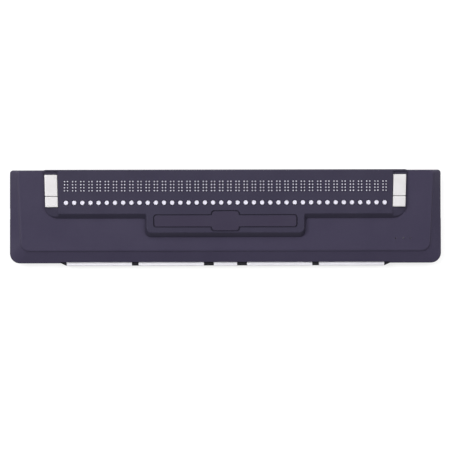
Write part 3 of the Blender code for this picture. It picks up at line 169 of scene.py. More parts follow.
SIDE_KEY_LEAN = 0.0007
SIDE_KEY_TOP_Z = 0.0199
SIDE_KEY_FOOT_Z = 0.0168
SIDE_KEY_HOOK = 0.0014
SIDE_KEY_HOOK_TOP_Z = 0.0177
SIDE_KEY_SLOT = 0.0023
SIDE_KEY_SLOT_DEPTH = 0.0013

THUMB_KEYS = {
    "thumb_left_outer": (-0.1253, -0.0738),
    "thumb_left_inner": (-0.0685, -0.0170),
    "thumb_centre": (-0.0092, 0.0092),
    "thumb_right_inner": (0.0170, 0.0685),
    "thumb_right_outer": (0.0738, 0.1253),
}
THUMB_KEY_FOOT_Z = 0.0036
THUMB_KEY_TOP_Z = 0.0080
THUMB_KEY_REACH = 0.0021
THUMB_FLANGE = 0.0012
THUMB_FLANGE_BACK = 0.0035
SCREWS_ON_RIGHT = ((0.153, 0.0275), (0.153, -0.021), (0.07115, -0.024))
SCREW_PLACES = [(side * x, y) for x, y in SCREWS_ON_RIGHT for side in (-1, 1)]
STANDOFF_PLACES = [(x, y) for x in (-0.100, 0, 0.100) for y in (0.029, -0.020)]
SOCKET_PLACES_Y = (0.0050, 0.0160)
SOCKET_Z = 0.0057
SOCKET_DEPTH = 0.0060
POWER_BUTTON_Y = 0.0035
POWER_BUTTON_Z = 0.0056
INDICATOR_PLACES = [(x, -0.0164) for x in (0.1338, 0.1400, 0.1454)]

# Inside, where the finish of a solid changes
REED_FRONT_Y = -0.0092
MAIN_BOARD_TOP_Z = 0.0055
SWITCH_BOARD_FOOT_Z = 0.0131
SWITCH_BOARD_TOP_Z = 0.0145
SOCKET_SHELL_X = 0.1600


def palm_z(y):
    """Height of the palm surface at depth y."""
    return PALM_BACK_Z - PALM_SLOPE * (CASE_BACK_Y - y)


def cell_x(index):
    """X of a cell's middle, counted from 0 at the left end."""
    return (index + 0.5 - CELL_COUNT / 2) * CELL_PITCH


# Finishes


class Wire:
    """A shader socket. Adding to it, multiplying it and so on places a Math node."""

    def __init__(self, tree, socket=None):
        self.tree = tree
        self.socket = socket

    def node(self, kind, settings=None, sockets=None, output=0):
        """Places any node: first its settings, then the values or wires of its sockets."""
        made = self.tree.nodes.new(kind)
        for name, value in (settings or {}).items():
            setattr(made, name, value)
        feed(self.tree, made, sockets or {})
        return Wire(self.tree, made.outputs[output])

    def maths(self, operation, *values):
        return self.node("ShaderNodeMath", {"operation": operation}, dict(enumerate(values)))

    def __add__(self, other):
        return self.maths("ADD", self, other)

    def __radd__(self, other):
        return self.maths("ADD", other, self)

    def __sub__(self, other):
        return self.maths("SUBTRACT", self, other)

    def __rsub__(self, other):
        return self.maths("SUBTRACT", other, self)

    def __mul__(self, other):
        return self.maths("MULTIPLY", self, other)

    def __rmul__(self, other):
        return self.maths("MULTIPLY", other, self)

    def ramp(self, start, end):
        """Rises softly from 0 where this value is at the start to 1 where it is at the end."""
        sockets = {"Value": self, "From Min": start, "From Max": end}
        return self.node("ShaderNodeMapRange", {"interpolation_type": "SMOOTHSTEP"}, sockets)

    def mix(self, first, second):
        """The first colour where this value is 0 and the second where it is 1."""
        return self.node("ShaderNodeMix", {"data_type": "RGBA"}, {0: self, 6: first, 7: second}, output=2)

    def noise(self, size, detail, roughness):
        """Noise from 0 to 1 at this place, whose lumps measure about this size."""
        sockets = {"Vector": self, "Scale": 1 / size, "Detail": detail, "Roughness": roughness}
        return self.node("ShaderNodeTexNoise", None, sockets)

    def waves(self, direction, scale, distortion):
        """Bands across a direction at this place."""
        sockets = {"Vector": self, "Scale": scale, "Distortion": distortion}
        return self.node("ShaderNodeTexWave", {"bands_direction": direction}, sockets)

    def along(self, axis):
        """This place along X, Y or Z."""
        return self.node("ShaderNodeSeparateXYZ", None, {"Vector": self}, axis)


def feed(tree, node, sockets):
    """Sets values and wires on a node's sockets."""
    for name, value in sockets.items():
        if isinstance(value, Wire):
            tree.links.new(value.socket, node.inputs[name])
        else:
            node.inputs[name].default_value = value


def begin(name):
    """A new material with only a shader, and the place on the piece, from which its other nodes are made."""
    material = bpy.data.materials.new(name)
    material.use_nodes = True
    return material, Wire(material.node_tree).node("ShaderNodeTexCoord", output="Object")


def finish_with(material, sockets, relief, height, strength):
    """Sets values, wires and a bump on the material's shader."""
    tree = material.node_tree
    bump = {"Height": relief, "Distance": height, "Strength": strength}
    sockets = {**sockets, "Normal": relief.node("ShaderNodeBump", None, bump)}
    feed(tree, tree.nodes["Principled BSDF"], sockets)
    return material


def rgb(red, green, blue):
    """A colour from 0 to 255 as the eye sees it, turned into linear light."""
    linear = []
    for value in (red, green, blue):
        share = value / 255
        linear.append(share / 12.92 if value <= 10 else ((share + 0.055) / 1.055) ** 2.4)
    return (*linear, 1)


def moulded_plastic(name, colour, other, roughness, grain=0.00035, height=0.00002, polish=None):
    """Spark-textured moulded plastic: cloudy colour, fine grain and, if asked, a polish that hands leave."""
    material, place = begin(name)
    cloud = place.noise(0.030, 3.0, 0.55)
    fleck = place.noise(0.0011, 2.0, 0.6)
    fine = place.noise(grain, 3.0, 0.7)
    tone = cloud.ramp(0.35, 0.65) * 0.6 + fleck.ramp(0.40, 0.62) * 0.4
    rough = roughness + (fine - 0.5) * 0.22 + (cloud - 0.5) * 0.10
    if polish is not None:
        rough = rough - polish(place) * 0.09
    spots = {"Vector": place, "Scale": 1 / (grain * 1.7)}
    pits = place.node("ShaderNodeTexVoronoi", {"feature": "SMOOTH_F1"}, spots)
    relief = fine * 0.6 + pits * 0.4
    sockets = {
        "Base Color": tone.mix(colour, other),
        "Roughness": rough,
        "Specular IOR Level": 0.08,
    }
    return finish_with(material, sockets, relief, height, 0.7)


def palm_polish(place):
    """Patches of 1 where the palms rest, on the slope in front of the panel, and 0 further back."""
    depth = place.along("Y")
    patches = place.noise(0.055, 2.0, 0.5).ramp(0.42, 0.60)
    return depth.ramp(0.004, -0.010) * patches


def key_plastic(name, colour, other, roughness):
    """Satin key plastic under a thin gloss, a little darker in soft clouds and dulled by fingertips."""
    material, place = begin(name)
    cloud = place.noise(0.012, 2.0, 0.5)
    touch = place.noise(0.0035, 3.0, 0.6)
    fine = place.noise(0.0003, 2.0, 0.6)
    rough = roughness + (touch - 0.5) * 0.16 + (fine - 0.5) * 0.08
    sockets = {
        "Base Color": (cloud.ramp(0.35, 0.7) * 0.7 + touch.ramp(0.45, 0.7) * 0.3).mix(colour, other),
        "Roughness": rough,
        "Coat Weight": 0.15,
        "Coat Roughness": 0.25,
    }
    return finish_with(material, sockets, fine, 0.000008, 0.5)


def nylon(name, colour, other):
    """Pin plastic: nearly white with a little lavender, a painted highlight towards each tip, painted shade
    lower down, and tips smoothed by wear.
    """
    material, place = begin(name)
    height = place.along("Z")
    fine = place.noise(0.00025, 3.0, 0.6)
    lot = place.noise(0.004, 1.0, 0.5)
    # Painted highlight towards the tip of each pin and painted shade lower down and on the carrier, mixed
    # with a random tone per lot; the same mask makes the tips smoother, as wear does.
    tip_highlight_and_wear = height.ramp(PIN_TOP_Z - 0.0005, PIN_TOP_Z) * 0.7 + lot.ramp(0.4, 0.6) * 0.3
    sockets = {"Base Color": tip_highlight_and_wear.mix(other, colour), "Roughness": 0.42 - tip_highlight_and_wear * 0.12 + (fine - 0.5) * 0.1}
    return finish_with(material, sockets, fine, 0.000006, 0.5)


def rubber(name, colour, other):
    """Matt rubber with fine cross ribs and dust in them."""
    material, place = begin(name)
    dust = place.noise(0.006, 4.0, 0.65)
    fine = place.noise(0.0004, 3.0, 0.7)
    ribs = place.waves("X", 180.0, 0.4)
    sockets = {
        "Base Color": (dust.ramp(0.5, 0.75) * 0.6 + fine * 0.2).mix(colour, other),
        "Roughness": 0.78 + (fine - 0.5) * 0.2,
    }
    return finish_with(material, sockets, ribs * 0.6 + fine * 0.4, 0.00012, 0.8)


def steel(name, colour, other, roughness):
    """Plated steel with fine drawn streaks."""
    material, place = begin(name)
    stretched = place.node("ShaderNodeMapping", None, {"Vector": place, "Scale": (1, 9, 1)})
    streaks = stretched.noise(0.0004, 3.0, 0.7)
    stain = place.noise(0.003, 3.0, 0.6)
    sockets = {
        "Base Color": (stain.ramp(0.4, 0.7) * 0.7 + streaks * 0.3).mix(colour, other),
        "Metallic": 0.95 - stain * 0.12,
        "Roughness": roughness + (streaks - 0.5) * 0.25,
    }
    return finish_with(material, sockets, streaks, 0.00001, 0.4)


def ceramic_cells(name):
    """Cell mechanisms: pale block plastic, with copper-coloured electrodes along the bending reeds."""
    material, place = begin(name)
    across = place.along("X")
    depth = place.along("Y")
    reed = depth.ramp(REED_FRONT_Y, REED_FRONT_Y + 0.0006)
    lane = across.maths("FRACT", across * (1 / CELL_PITCH))
    strip = lane.maths("ABSOLUTE", lane - 0.5).ramp(0.34, 0.30)
    fine = place.noise(0.0006, 3.0, 0.6)
    cloud = place.noise(0.008, 3.0, 0.6)
    block = cloud.ramp(0.3, 0.7).mix(rgb(205, 200, 182), rgb(186, 180, 160))
    metal = fine.ramp(0.3, 0.7).mix(rgb(172, 128, 92), rgb(198, 158, 118))
    copper = reed * strip
    sockets = {
        "Base Color": copper.mix(block, metal),
        "Metallic": copper * 0.75,
        "Roughness": 0.58 - copper * 0.22 + (fine - 0.5) * 0.15,
    }
    return finish_with(material, sockets, fine, 0.00002, 0.5)


def fitted_boards(name):
    """Green boards with traces, black switches above them and tin-plated socket shells at the right end."""
    material, place = begin(name)
    across = place.along("X")
    height = place.along("Z")
    fine = place.noise(0.0005, 3.0, 0.6)
    lines = place.waves("Y", 260.0, 1.5)
    patch = place.noise(0.010, 2.0, 0.5).ramp(0.48, 0.54)
    trace = lines.ramp(0.55, 0.75) * patch
    green = trace.mix(rgb(24, 78, 46), rgb(46, 112, 66))
    edge = 0.00005
    above_main = height.ramp(MAIN_BOARD_TOP_Z - edge, MAIN_BOARD_TOP_Z)
    below_switch_board = height.ramp(SWITCH_BOARD_FOOT_Z + edge, SWITCH_BOARD_FOOT_Z)
    above_switch_board = height.ramp(SWITCH_BOARD_TOP_Z - edge, SWITCH_BOARD_TOP_Z)
    black = above_main * below_switch_board + above_switch_board
    tin = across.ramp(SOCKET_SHELL_X, SOCKET_SHELL_X + 0.0004)
    part = black.mix(green, rgb(26, 26, 30))
    sockets = {
        "Base Color": tin.mix(part, rgb(188, 188, 192)),
        "Metallic": tin * 0.9,
        "Roughness": 0.42 + (fine - 0.5) * 0.2 - tin * 0.1,
    }
    return finish_with(material, sockets, trace * 0.5 + fine * 0.5, 0.00002, 0.5)


def battery_wrap(name):
    """Shrink wrap, blue, with creases."""
    material, place = begin(name)
    crease = place.noise(0.004, 4.0, 0.7)
    cloud = place.noise(0.015, 2.0, 0.5)
    sockets = {
        "Base Color": cloud.ramp(0.3, 0.7).mix(rgb(38, 74, 132), rgb(30, 60, 112)),
        "Roughness": 0.30 + crease * 0.15,
    }
    return finish_with(material, sockets, crease, 0.0002, 0.5)


def smoked_lens(name):
    """Dark indicator windows: smoked plastic, glossy, with a slightly lighter core."""
    material, place = begin(name)
    core = place.noise(0.0006, 2.0, 0.5)
    sockets = {
        "Base Color": core.mix(rgb(14, 12, 20), rgb(34, 30, 44)),
        "Roughness": 0.16 + core * 0.1,
        "Coat Weight": 0.4,
    }
    return finish_with(material, sockets, core, 0.00001, 0.3)


def pale_table(name):
    """Matt white table top with very soft clouds, which glows a little so that it stays pale."""
    material, place = begin(name)
    cloud = place.noise(0.4, 3.0, 0.5)
    fine = place.noise(0.0015, 3.0, 0.6)
    sockets = {
        "Base Color": cloud.mix((0.27, 0.27, 0.274, 1), (0.285, 0.285, 0.285, 1)),
        "Roughness": 0.7 + (fine - 0.5) * 0.1,
        "Specular IOR Level": 0.2,
        "Emission Color": (1, 1, 1, 1),
        "Emission Strength": 0.75,
    }
    return finish_with(material, sockets, fine, 0.00002, 0.2)


# Mesh helpers


def outline(corners, runs=1):
    """Points round a closed outline.

    Each corner is x, y, radius and steps of its arc, and runs divide the straight sides.
    """
    arcs = []
    for i, (x, y, radius, steps) in enumerate(corners):
        corner = Vector((x, y))
        to_last = (Vector(corners[i - 1][:2]) - corner).normalized()
        to_next = (Vector(corners[(i + 1) % len(corners)][:2]) - corner).normalized()
        half = to_last.angle(to_next) / 2
        centre = corner + (to_last + to_next).normalized() * radius / math.sin(half)
        start = corner + to_last * radius / math.tan(half) - centre
        sweep = start.angle_signed(corner + to_next * radius / math.tan(half) - centre)
        arcs.append([centre + Matrix.Rotation(-sweep * step / steps, 2) @ start for step in range(steps + 1)])
    points = []
    for arc, following in zip(arcs, arcs[1:] + arcs[:1]):
        points += arc
        points += [arc[-1].lerp(following[0], step / runs) for step in range(1, runs)]
    return points


def mirrored(corners):
    """The left half's corners, then the same ones on the right."""
    return corners + [(-x, y, radius, steps) for x, y, radius, steps in reversed(corners)]


def bar(half_width, half_depth, radius, steps=6, middle_y=0.0):
    """A rectangle with four equal round corners."""
    back, front = middle_y + half_depth, middle_y - half_depth
    return outline(mirrored([(-half_width, back, radius, steps), (-half_width, front, radius, steps)]))


def rectangle(left, right, low, high):
    """A rectangle with sharp corners."""
    return [(left, low), (right, low), (right, high), (left, high)]


def moved(points, x, y):
    return [Vector((p.x + x, p.y + y)) for p in points]


def at(points, z):
    """Points of an outline at a height, or at the heights that a function of their depth gives."""
    return [Vector((p.x, p.y, z(p.y) if callable(z) else z)) for p in points]


def between(first, second, share):
    """A ring part of the way from one ring to another."""
    return [a.lerp(b, share) for a, b in zip(first, second)]


def arc_rings(before, edge, after, steps=3):
    """Rings that round off an edge ring, from the ring before it to the ring after it."""
    rings = []
    for step in range(steps + 1):
        t = step / steps
        parts = zip(before, edge, after)
        rings.append([a * (1 - t) ** 2 + b * 2 * t * (1 - t) + c * t**2 for a, b, c in parts])
    return rings


def link(name, data):
    """A new object in the scene, with this mesh, light or camera."""
    obj = bpy.data.objects.new(name, data)
    bpy.context.scene.collection.objects.link(obj)
    return obj


def new_piece(name, build, material=None):
    """An object whose faces the function build adds to a new bmesh."""
    bm = bmesh.new()
    build(bm)
    bmesh.ops.recalc_face_normals(bm, faces=bm.faces)
    mesh = bpy.data.meshes.new(name)
    bm.to_mesh(mesh)
    bm.free()
    if material:
        mesh.materials.append(material)
    return link(name, mesh)


def loft(bm, rings):
    """A closed skin through rings of equally many points, capped at both ends."""
    loops = [[bm.verts.new(point) for point in ring] for ring in rings]
    count = len(rings[0])
    for lower, upper in zip(loops, loops[1:]):
        for i in range(count):
            j = (i + 1) % count
            bm.faces.new((lower[i], lower[j], upper[j], upper[i]))
    bm.faces.new(loops[0])
    bm.faces.new(loops[-1])


def prism(bm, points, low, high, plane="XY"):
    """A flat outline drawn out along the third axis."""
    turns = {
        "XY": lambda a, b, c: (a, b, c),
        "YZ": lambda a, b, c: (c, a, b),
        "XZ": lambda a, b, c: (a, c, b),
    }
    turn = turns[plane]
    loft(bm, [[Vector(turn(p[0], p[1], level)) for p in points] for level in (low, high)])


def lathe(bm, profile, x=0.0, y=0.0, sides=24):
    """A solid turned round an upright axis, from radius and height pairs that start and end on the axis."""
    rings = []
    for radius, z in profile[1:-1]:
        turns = [2 * math.pi * i / sides for i in range(sides)]
        rings.append([bm.verts.new((x + radius * math.cos(a), y + radius * math.sin(a), z)) for a in turns])
    tip, foot = (bm.verts.new((x, y, profile[i][1])) for i in (0, -1))
    for i in range(sides):
        j = (i + 1) % sides
        bm.faces.new((tip, rings[0][i], rings[0][j]))
        bm.faces.new((foot, rings[-1][j], rings[-1][i]))
        for lower, upper in zip(rings, rings[1:]):
            bm.faces.new((lower[i], lower[j], upper[j], upper[i]))


def change(obj, kind, **settings):
    """Puts a modifier on a piece."""
    modifier = obj.modifiers.new(kind.lower(), kind)
    for name, value in settings.items():
        setattr(modifier, name, value)


def soften(obj, width, segments=3, angle=40):
    """Rounds the edges of a piece."""
    limit = {"limit_method": "ANGLE", "angle_limit": math.radians(angle), "use_clamp_overlap": True}
    change(obj, "BEVEL", width=width, segments=segments, **limit)
    return settle(obj)


def combine(obj, build, operation="DIFFERENCE", rounding=0.0):
    """Cuts away from a piece, or adds to it, what the function build makes."""
    other = new_piece(obj.name + "_tool", build)
    if rounding:
        soften(other, rounding)
    change(obj, "BOOLEAN", object=other, operation=operation, solver="EXACT")
    settle(obj)
    mesh = other.data
    bpy.data.objects.remove(other)
    bpy.data.meshes.remove(mesh)


def settle(obj):
    """Applies the modifiers to the mesh."""
    bpy.context.view_layer.update()
    evaluated = obj.evaluated_get(bpy.context.evaluated_depsgraph_get())
    mesh = bpy.data.meshes.new_from_object(evaluated)
    old = obj.data
    obj.modifiers.clear()
    obj.data = mesh
    bpy.data.meshes.remove(old)
    mesh.name = obj.name
    return obj


def smooth(obj, angle=35):
    """Smooth shading that keeps real edges and flat faces as they are."""
    mesh = obj.data
    mesh.shade_smooth()
    mesh.set_sharp_from_angle(angle=math.radians(angle))
    change(obj, "WEIGHTED_NORMAL", mode="FACE_AREA", weight=50, keep_sharp=True)
    return settle(obj)


def place_on(obj, body, slot, *nodes):
    """Rides on a body and stands for solids of the frame, which it hides. The slot is not used."""
    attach(obj, body)
    if nodes:
        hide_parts(*nodes)


# Outlines


def case_outline(inset=0.0):
    """The case in plan, drawn in by an inset."""
    x = HALF_WIDTH - inset
    corners = [
        (-x, CASE_BACK_Y - inset, max(BACK_CORNER_RADIUS - inset / 2, 0.0008), 5),
        (-x, CASE_FRONT_Y + inset, FRONT_CORNER_RADIUS - inset, 10),
    ]
    return outline(mirrored(corners), OUTLINE_RUNS)


def ridge_outline():
    """The edge between the palm surface and the bevelled rim, with as many points as the case."""
    corners = [
        (-RIDGE_BACK_X, RIDGE_BACK_Y, BACK_CORNER_RADIUS, 5),
        (-RIDGE_FRONT_X, RIDGE_FRONT_Y, RIDGE_CORNER_RADIUS, 10),
    ]
    return outline(mirrored(corners), OUTLINE_RUNS)


def side_key_x(y, across):
    """X of the right-hand side keys at depth y, from 0 at their inner edge to 1 at the outer one."""
    along = (y - SIDE_KEY_FRONT_Y) / (SIDE_KEY_REAR_Y - SIDE_KEY_FRONT_Y)
    return SIDE_KEY_INNER_X + across * SIDE_KEY_WIDTH - SIDE_KEY_LEAN * (1 - along)


def panel_outline(share, grow=0.0):
    """The raised panel in plan, from share 0 at its top to 1 at its foot."""
    back_y = CASE_BACK_Y - PANEL_BACK_RUN * (1 - share) + grow
    end_run = PANEL_END_MARGIN + PANEL_END_RUN * share + grow
    step_y = PANEL_STEP_Y - PANEL_STEP_RUN * share
    step_radius = PANEL_CORNER_RADIUS + PANEL_CORNER_SPREAD * share + grow
    tongue_x = TONGUE_HALF_WIDTH + TONGUE_SIDE_RUN * share
    tongue_y = TONGUE_FRONT_Y - PANEL_STEP_RUN * share - grow
    tongue_radius = TONGUE_RADIUS + TONGUE_SIDE_RUN * share / 2 + grow
    corners = [
        (-side_key_x(CASE_BACK_Y, 1) - end_run, back_y, BACK_CORNER_RADIUS + grow, 5),
        (-side_key_x(step_y, 1) - end_run, step_y - grow, step_radius, 12),
        (-tongue_x - grow, step_y - grow, TONGUE_ROOT_RADIUS - grow, 6),
        (-tongue_x - grow, tongue_y, tongue_radius, 12),
    ]
    return outline(mirrored(corners), 6)


def plate_outline(grow):
    """The name plate: a long bar with a wider middle."""
    bar_x, middle_x = PLATE_BAR_HALF_WIDTH + grow, PLATE_MIDDLE_HALF_WIDTH + grow
    middle_radius, root_radius, bar_radius = 0.0024 + grow / 2, 0.0006 - grow / 2, 0.0020 + grow / 2
    corners = [
        (-middle_x, PLATE_MIDDLE_BACK_Y + grow, middle_radius, 6),
        (-middle_x, PLATE_BAR_BACK_Y + grow, root_radius, 3),
        (-bar_x, PLATE_BAR_BACK_Y + grow, bar_radius, 6),
        (-bar_x, PLATE_BAR_FRONT_Y - grow, bar_radius, 6),
        (-middle_x, PLATE_BAR_FRONT_Y - grow, root_radius, 3),
        (-middle_x, PLATE_MIDDLE_FRONT_Y - grow, middle_radius, 6),
    ]
    return outline(mirrored(corners))


# Pieces of the case


def side_recesses(bm):
    """Shallow recesses round the power button on the left and the sockets on the right."""
    button = (POWER_BUTTON_Y - POWER_RECESS_HALF_LENGTH, POWER_BUTTON_Y + POWER_RECESS_HALF_LENGTH)
    sockets = (SOCKET_RECESS_FRONT_Y, SOCKET_RECESS_BACK_Y)
    left_wall = (-HALF_WIDTH - OVERRUN, -HALF_WIDTH + SIDE_RECESS)
    right_wall = (HALF_WIDTH - SIDE_RECESS, HALF_WIDTH + OVERRUN)
    for (front, back), wall in ((button, left_wall), (sockets, right_wall)):
        corners = [(front, -OVERRUN), (front, SIDE_WALL_TOP_Z), (back, SIDE_WALL_TOP_Z), (back, -OVERRUN)]
        prism(bm, outline([(*corner, SIDE_RECESS_RADIUS, 4) for corner in corners]), *wall, "YZ")


def make_top_cover(material):
    """Palm surface with a fine step at its ridge, rim, side walls, bosses and the opening under the panel."""
    wall = at(case_outline(), SIDE_WALL_TOP_Z)
    ridge = at(ridge_outline(), palm_z)
    down = Vector((0, 0, -1))
    outwards, room = [], []
    for low, high in zip(wall, ridge):
        flat = Vector((low.x - high.x, low.y - high.y, 0))
        outwards.append(flat.normalized())
        room.append(min(1, 0.6 * flat.length / RIDGE_LEDGE))

    def inside(run, sink):
        """A ring on or under the palm surface, inside the ridge."""
        places = [p - direction * run for p, direction in zip(ridge, outwards)]
        return at(places, lambda y: palm_z(y) - sink)

    def outside(run, sink):
        """A ring outside and below the ridge, held back where the rim is narrow."""
        return [p + d * run * share + down * sink for p, d, share in zip(ridge, outwards, room)]

    def build(bm):
        on_top, at_ridge = inside(RIDGE_ROUNDING, 0), inside(RIDGE_ROUNDING / 3, 0)
        rings = arc_rings(on_top, at_ridge, outside(0, RIDGE_DROP), 6)
        ledge = outside(RIDGE_LEDGE, RIDGE_LIP + 0.0001)
        rings += [outside(RIDGE_LIP_RUN, RIDGE_LIP), ledge]
        rings += [between(ledge, wall, share) for share in (0.04, 0.3, 0.6)]
        near = [w + (f - w).normalized() * RIM_EDGE_RUN for w, f in zip(wall, ledge)]
        rings += arc_rings(near, wall, [w + down * RIM_EDGE_DROP for w in wall], 4)
        outer, inner = case_outline(), case_outline(CASE_WALL)
        edge = at(case_outline(PARTING_EDGE), PARTING_Z)
        rings += arc_rings(at(outer, PARTING_Z + PARTING_EDGE), at(outer, PARTING_Z), edge, 2)
        rings += [at(inner, PARTING_Z), at(inner, SIDE_WALL_TOP_Z - 0.0008)]
        rings.append(inside(RIDGE_ROUNDING - 0.0003, CASE_WALL))
        loft(bm, rings)

    def bosses(bm):
        r, foot, top = SCREW_HOLE_RADIUS, BOSS_FOOT_Z, BOSS_HOLE_TOP_Z
        for x, y in SCREW_PLACES:
            head = palm_z(y) - 0.0010
            boss = [(0, head), (BOSS_RADIUS, head), (BOSS_RADIUS, foot)]
            lathe(bm, boss + [(r, foot), (r, top), (0, top)], x, y, 24)

    def cuts(bm):
        half = FRONT_RELIEF_HALF_WIDTH
        relief = rectangle(-half, half, PARTING_Z - OVERRUN, FRONT_RELIEF_TOP_Z)
        prism(bm, relief, CASE_FRONT_Y - OVERRUN, CASE_FRONT_Y + FRONT_RELIEF_DEPTH, "XZ")
        side_recesses(bm)

    def opening(bm):
        prism(bm, panel_outline(1, -0.0012), PARTING_Z - OVERRUN, PANEL_TOP_Z + OVERRUN)

    def window_seats(bm):
        floor, mouth = [(0, -0.0006), (0.00055, -0.0006)], [(0.00055, -0.0001), (0.0007, 0.0001), (0, 0.0001)]
        turn_in_palm(bm, floor + mouth)

    cover = new_piece("case_top", build, material)
    combine(cover, bosses, "UNION")
    combine(cover, cuts)
    combine(cover, opening)
    combine(cover, window_seats)
    place_on(smooth(cover), "housing", "indigo_plastic", "top_cover")


def turn_in_palm(bm, profile):
    """The same turned shape at each indicator window, with heights from the palm surface."""
    for x, y in INDICATOR_PLACES:
        lathe(bm, [(radius, palm_z(y) + rise) for radius, rise in profile], x, y, 20)


def make_indicators(material):
    """Three tiny smoked windows in the palm surface."""
    face = [(0, -0.00002), (0.00030, -0.00005), (0.00045, -0.00014)]
    side = [(0.0005, -0.00024), (0.0005, -0.0005), (0, -0.0005)]
    windows = new_piece("indicator_windows", lambda bm: turn_in_palm(bm, face + side), material)
    place_on(smooth(windows, 50), "housing", "black_plastic")


def make_base_cover(material):
    """Tray with a rounded lower edge, the lip round the thumb keys, posts, windows and foot pockets."""

    def build(bm):
        outer, inner = case_outline(), case_outline(CASE_WALL)
        sole = at(case_outline(BASE_EDGE + 0.0006), BASE_BOTTOM_Z)
        low, high = at(case_outline(BASE_EDGE), BASE_BOTTOM_Z), at(outer, BASE_BOTTOM_Z + BASE_EDGE)
        rings = arc_rings(sole, low, between(low, high, 0.3), 3)
        rings += arc_rings(between(low, high, 0.6), high, at(outer, BASE_EDGE_TOP_Z), 3)
        edge = at(case_outline(PARTING_EDGE), BASE_TOP_Z)
        rings += arc_rings(at(outer, BASE_TOP_Z - PARTING_EDGE), at(outer, BASE_TOP_Z), edge, 2)
        rings += [at(inner, BASE_TOP_Z), at(inner, BASE_FLOOR_Z + TRAY_FILLET)]
        rings.append(at(case_outline(CASE_WALL + TRAY_FILLET), BASE_FLOOR_Z))
        loft(bm, rings)

    def lip(bm):
        end, foot = LIP_HALF_WIDTH, LIP_HALF_WIDTH + LIP_TAPER
        front, root, back = CASE_FRONT_Y - LIP_REACH, CASE_FRONT_Y + 0.0002, CASE_FRONT_Y + 0.0010
        points = [(-end, front), (end, front), (foot, root), (foot, back), (-foot, back), (-foot, root)]
        prism(bm, points, LIP_FOOT_Z, BASE_TOP_Z)

    def posts(bm):
        pads = [(place, PAD_RADIUS, PAD_TOP_Z, 28) for place in SCREW_PLACES]
        standoffs = [(place, STANDOFF_RADIUS, STANDOFF_TOP_Z, 20) for place in STANDOFF_PLACES]
        edge, foot = POST_EDGE, POST_FOOT_Z
        for (x, y), r, top, sides in pads + standoffs:
            lathe(bm, [(0, top), (r - edge, top), (r, top - edge), (r, foot), (0, foot)], x, y, sides)

    def notches(bm):
        low, high = THUMB_KEY_FOOT_Z - SEAM_GAP, BASE_TOP_Z + OVERRUN
        for left, right in THUMB_KEYS.values():
            notch = rectangle(left - SEAM_GAP, right + SEAM_GAP, low, high)
            prism(bm, notch, CASE_FRONT_Y - 2 * OVERRUN, CASE_FRONT_Y + CASE_WALL + SEAM_GAP, "XZ")
        side_recesses(bm)

    def side_windows(bm):
        socket, button = bar(0.0042, 0.0022, 0.0010), bar(0.0035, 0.0016, 0.0012)
        for y in SOCKET_PLACES_Y:
            right_wall = (HALF_WIDTH - CASE_WALL - OVERRUN, HALF_WIDTH + OVERRUN)
            prism(bm, moved(socket, y, SOCKET_Z), *right_wall, "YZ")
        left_wall = (-HALF_WIDTH - OVERRUN, -HALF_WIDTH + CASE_WALL + OVERRUN)
        prism(bm, moved(button, POWER_BUTTON_Y, POWER_BUTTON_Z), *left_wall, "YZ")

    def from_below(bm):
        for x, y in SCREW_PLACES:
            head = [(0, -0.003), (0.0029, -0.003), (0.0029, 0.0012), (0.0027, 0.0014), (0.0027, 0.0032)]
            hole = [(SCREW_HOLE_RADIUS, 0.0032), (SCREW_HOLE_RADIUS, 0.0090), (0, 0.0090)]
            lathe(bm, head + hole, x, y, 28)
        half_width, half_depth = FOOT_HALF_WIDTH + SEAM_GAP, FOOT_HALF_DEPTH + SEAM_GAP
        for y in FOOT_STRIPS.values():
            pocket = bar(half_width, half_depth, FOOT_RADIUS, 8, y)
            prism(bm, pocket, BASE_BOTTOM_Z - OVERRUN, FOOT_TOP_Z + SEAM_GAP)

    base = new_piece("case_base", build, material)
    combine(base, lip, "UNION", rounding=0.0004)
    combine(base, posts, "UNION")
    combine(base, notches)
    combine(base, side_windows)
    combine(base, from_below)
    place_on(smooth(base), "housing", "black_plastic", "base_cover")


def make_feet(material):
    """Two rubber strips with rounded edges, stuck into the pockets of the base."""
    for name, y in FOOT_STRIPS.items():
        points = bar(FOOT_HALF_WIDTH, FOOT_HALF_DEPTH, FOOT_RADIUS, 10, y)
        strip = new_piece("rubber_" + name, lambda bm: prism(bm, points, 0, FOOT_TOP_Z), material)
        place_on(smooth(soften(strip, 0.0003)), "housing", "foot_rubber", name)


def make_screws(material):
    """Six case screws, seen from below: pan heads with a cross recess."""

    def build(bm):
        head = [(0, 0.0018), (0.0012, 0.0018), (0.0019, 0.00195), (0.0023, 0.0024), (0.0023, 0.0031)]
        shank = [(0.0012, 0.0031), (0.0012, 0.0094), (0.0006, 0.0102), (0, 0.0102)]
        lathe(bm, head + shank, sides=32)

    def blade(turn):
        def build_blade(bm):
            points = [(-0.0012, 0.0015), (0.0012, 0.0015), (0.0006, 0.0028), (-0.0006, 0.0028)]
            prism(bm, points, -0.00022, 0.00022, "XZ")
            bmesh.ops.rotate(bm, verts=bm.verts, cent=(0, 0, 0), matrix=Matrix.Rotation(turn, 3, "Z"))

        return build_blade

    first = new_piece("case_screw_1", build, material)
    for turn in (0.4, 0.4 + math.pi / 2):
        combine(first, blade(turn))
    smooth(first)
    for number, (x, y) in enumerate(SCREW_PLACES, 1):
        screw = first if number == 1 else link(f"case_screw_{number}", first.data)
        screw.location = (x, y, 0)
        screw.rotation_euler.z = 0.7 * number
        place_on(screw, "housing", "black_plastic")


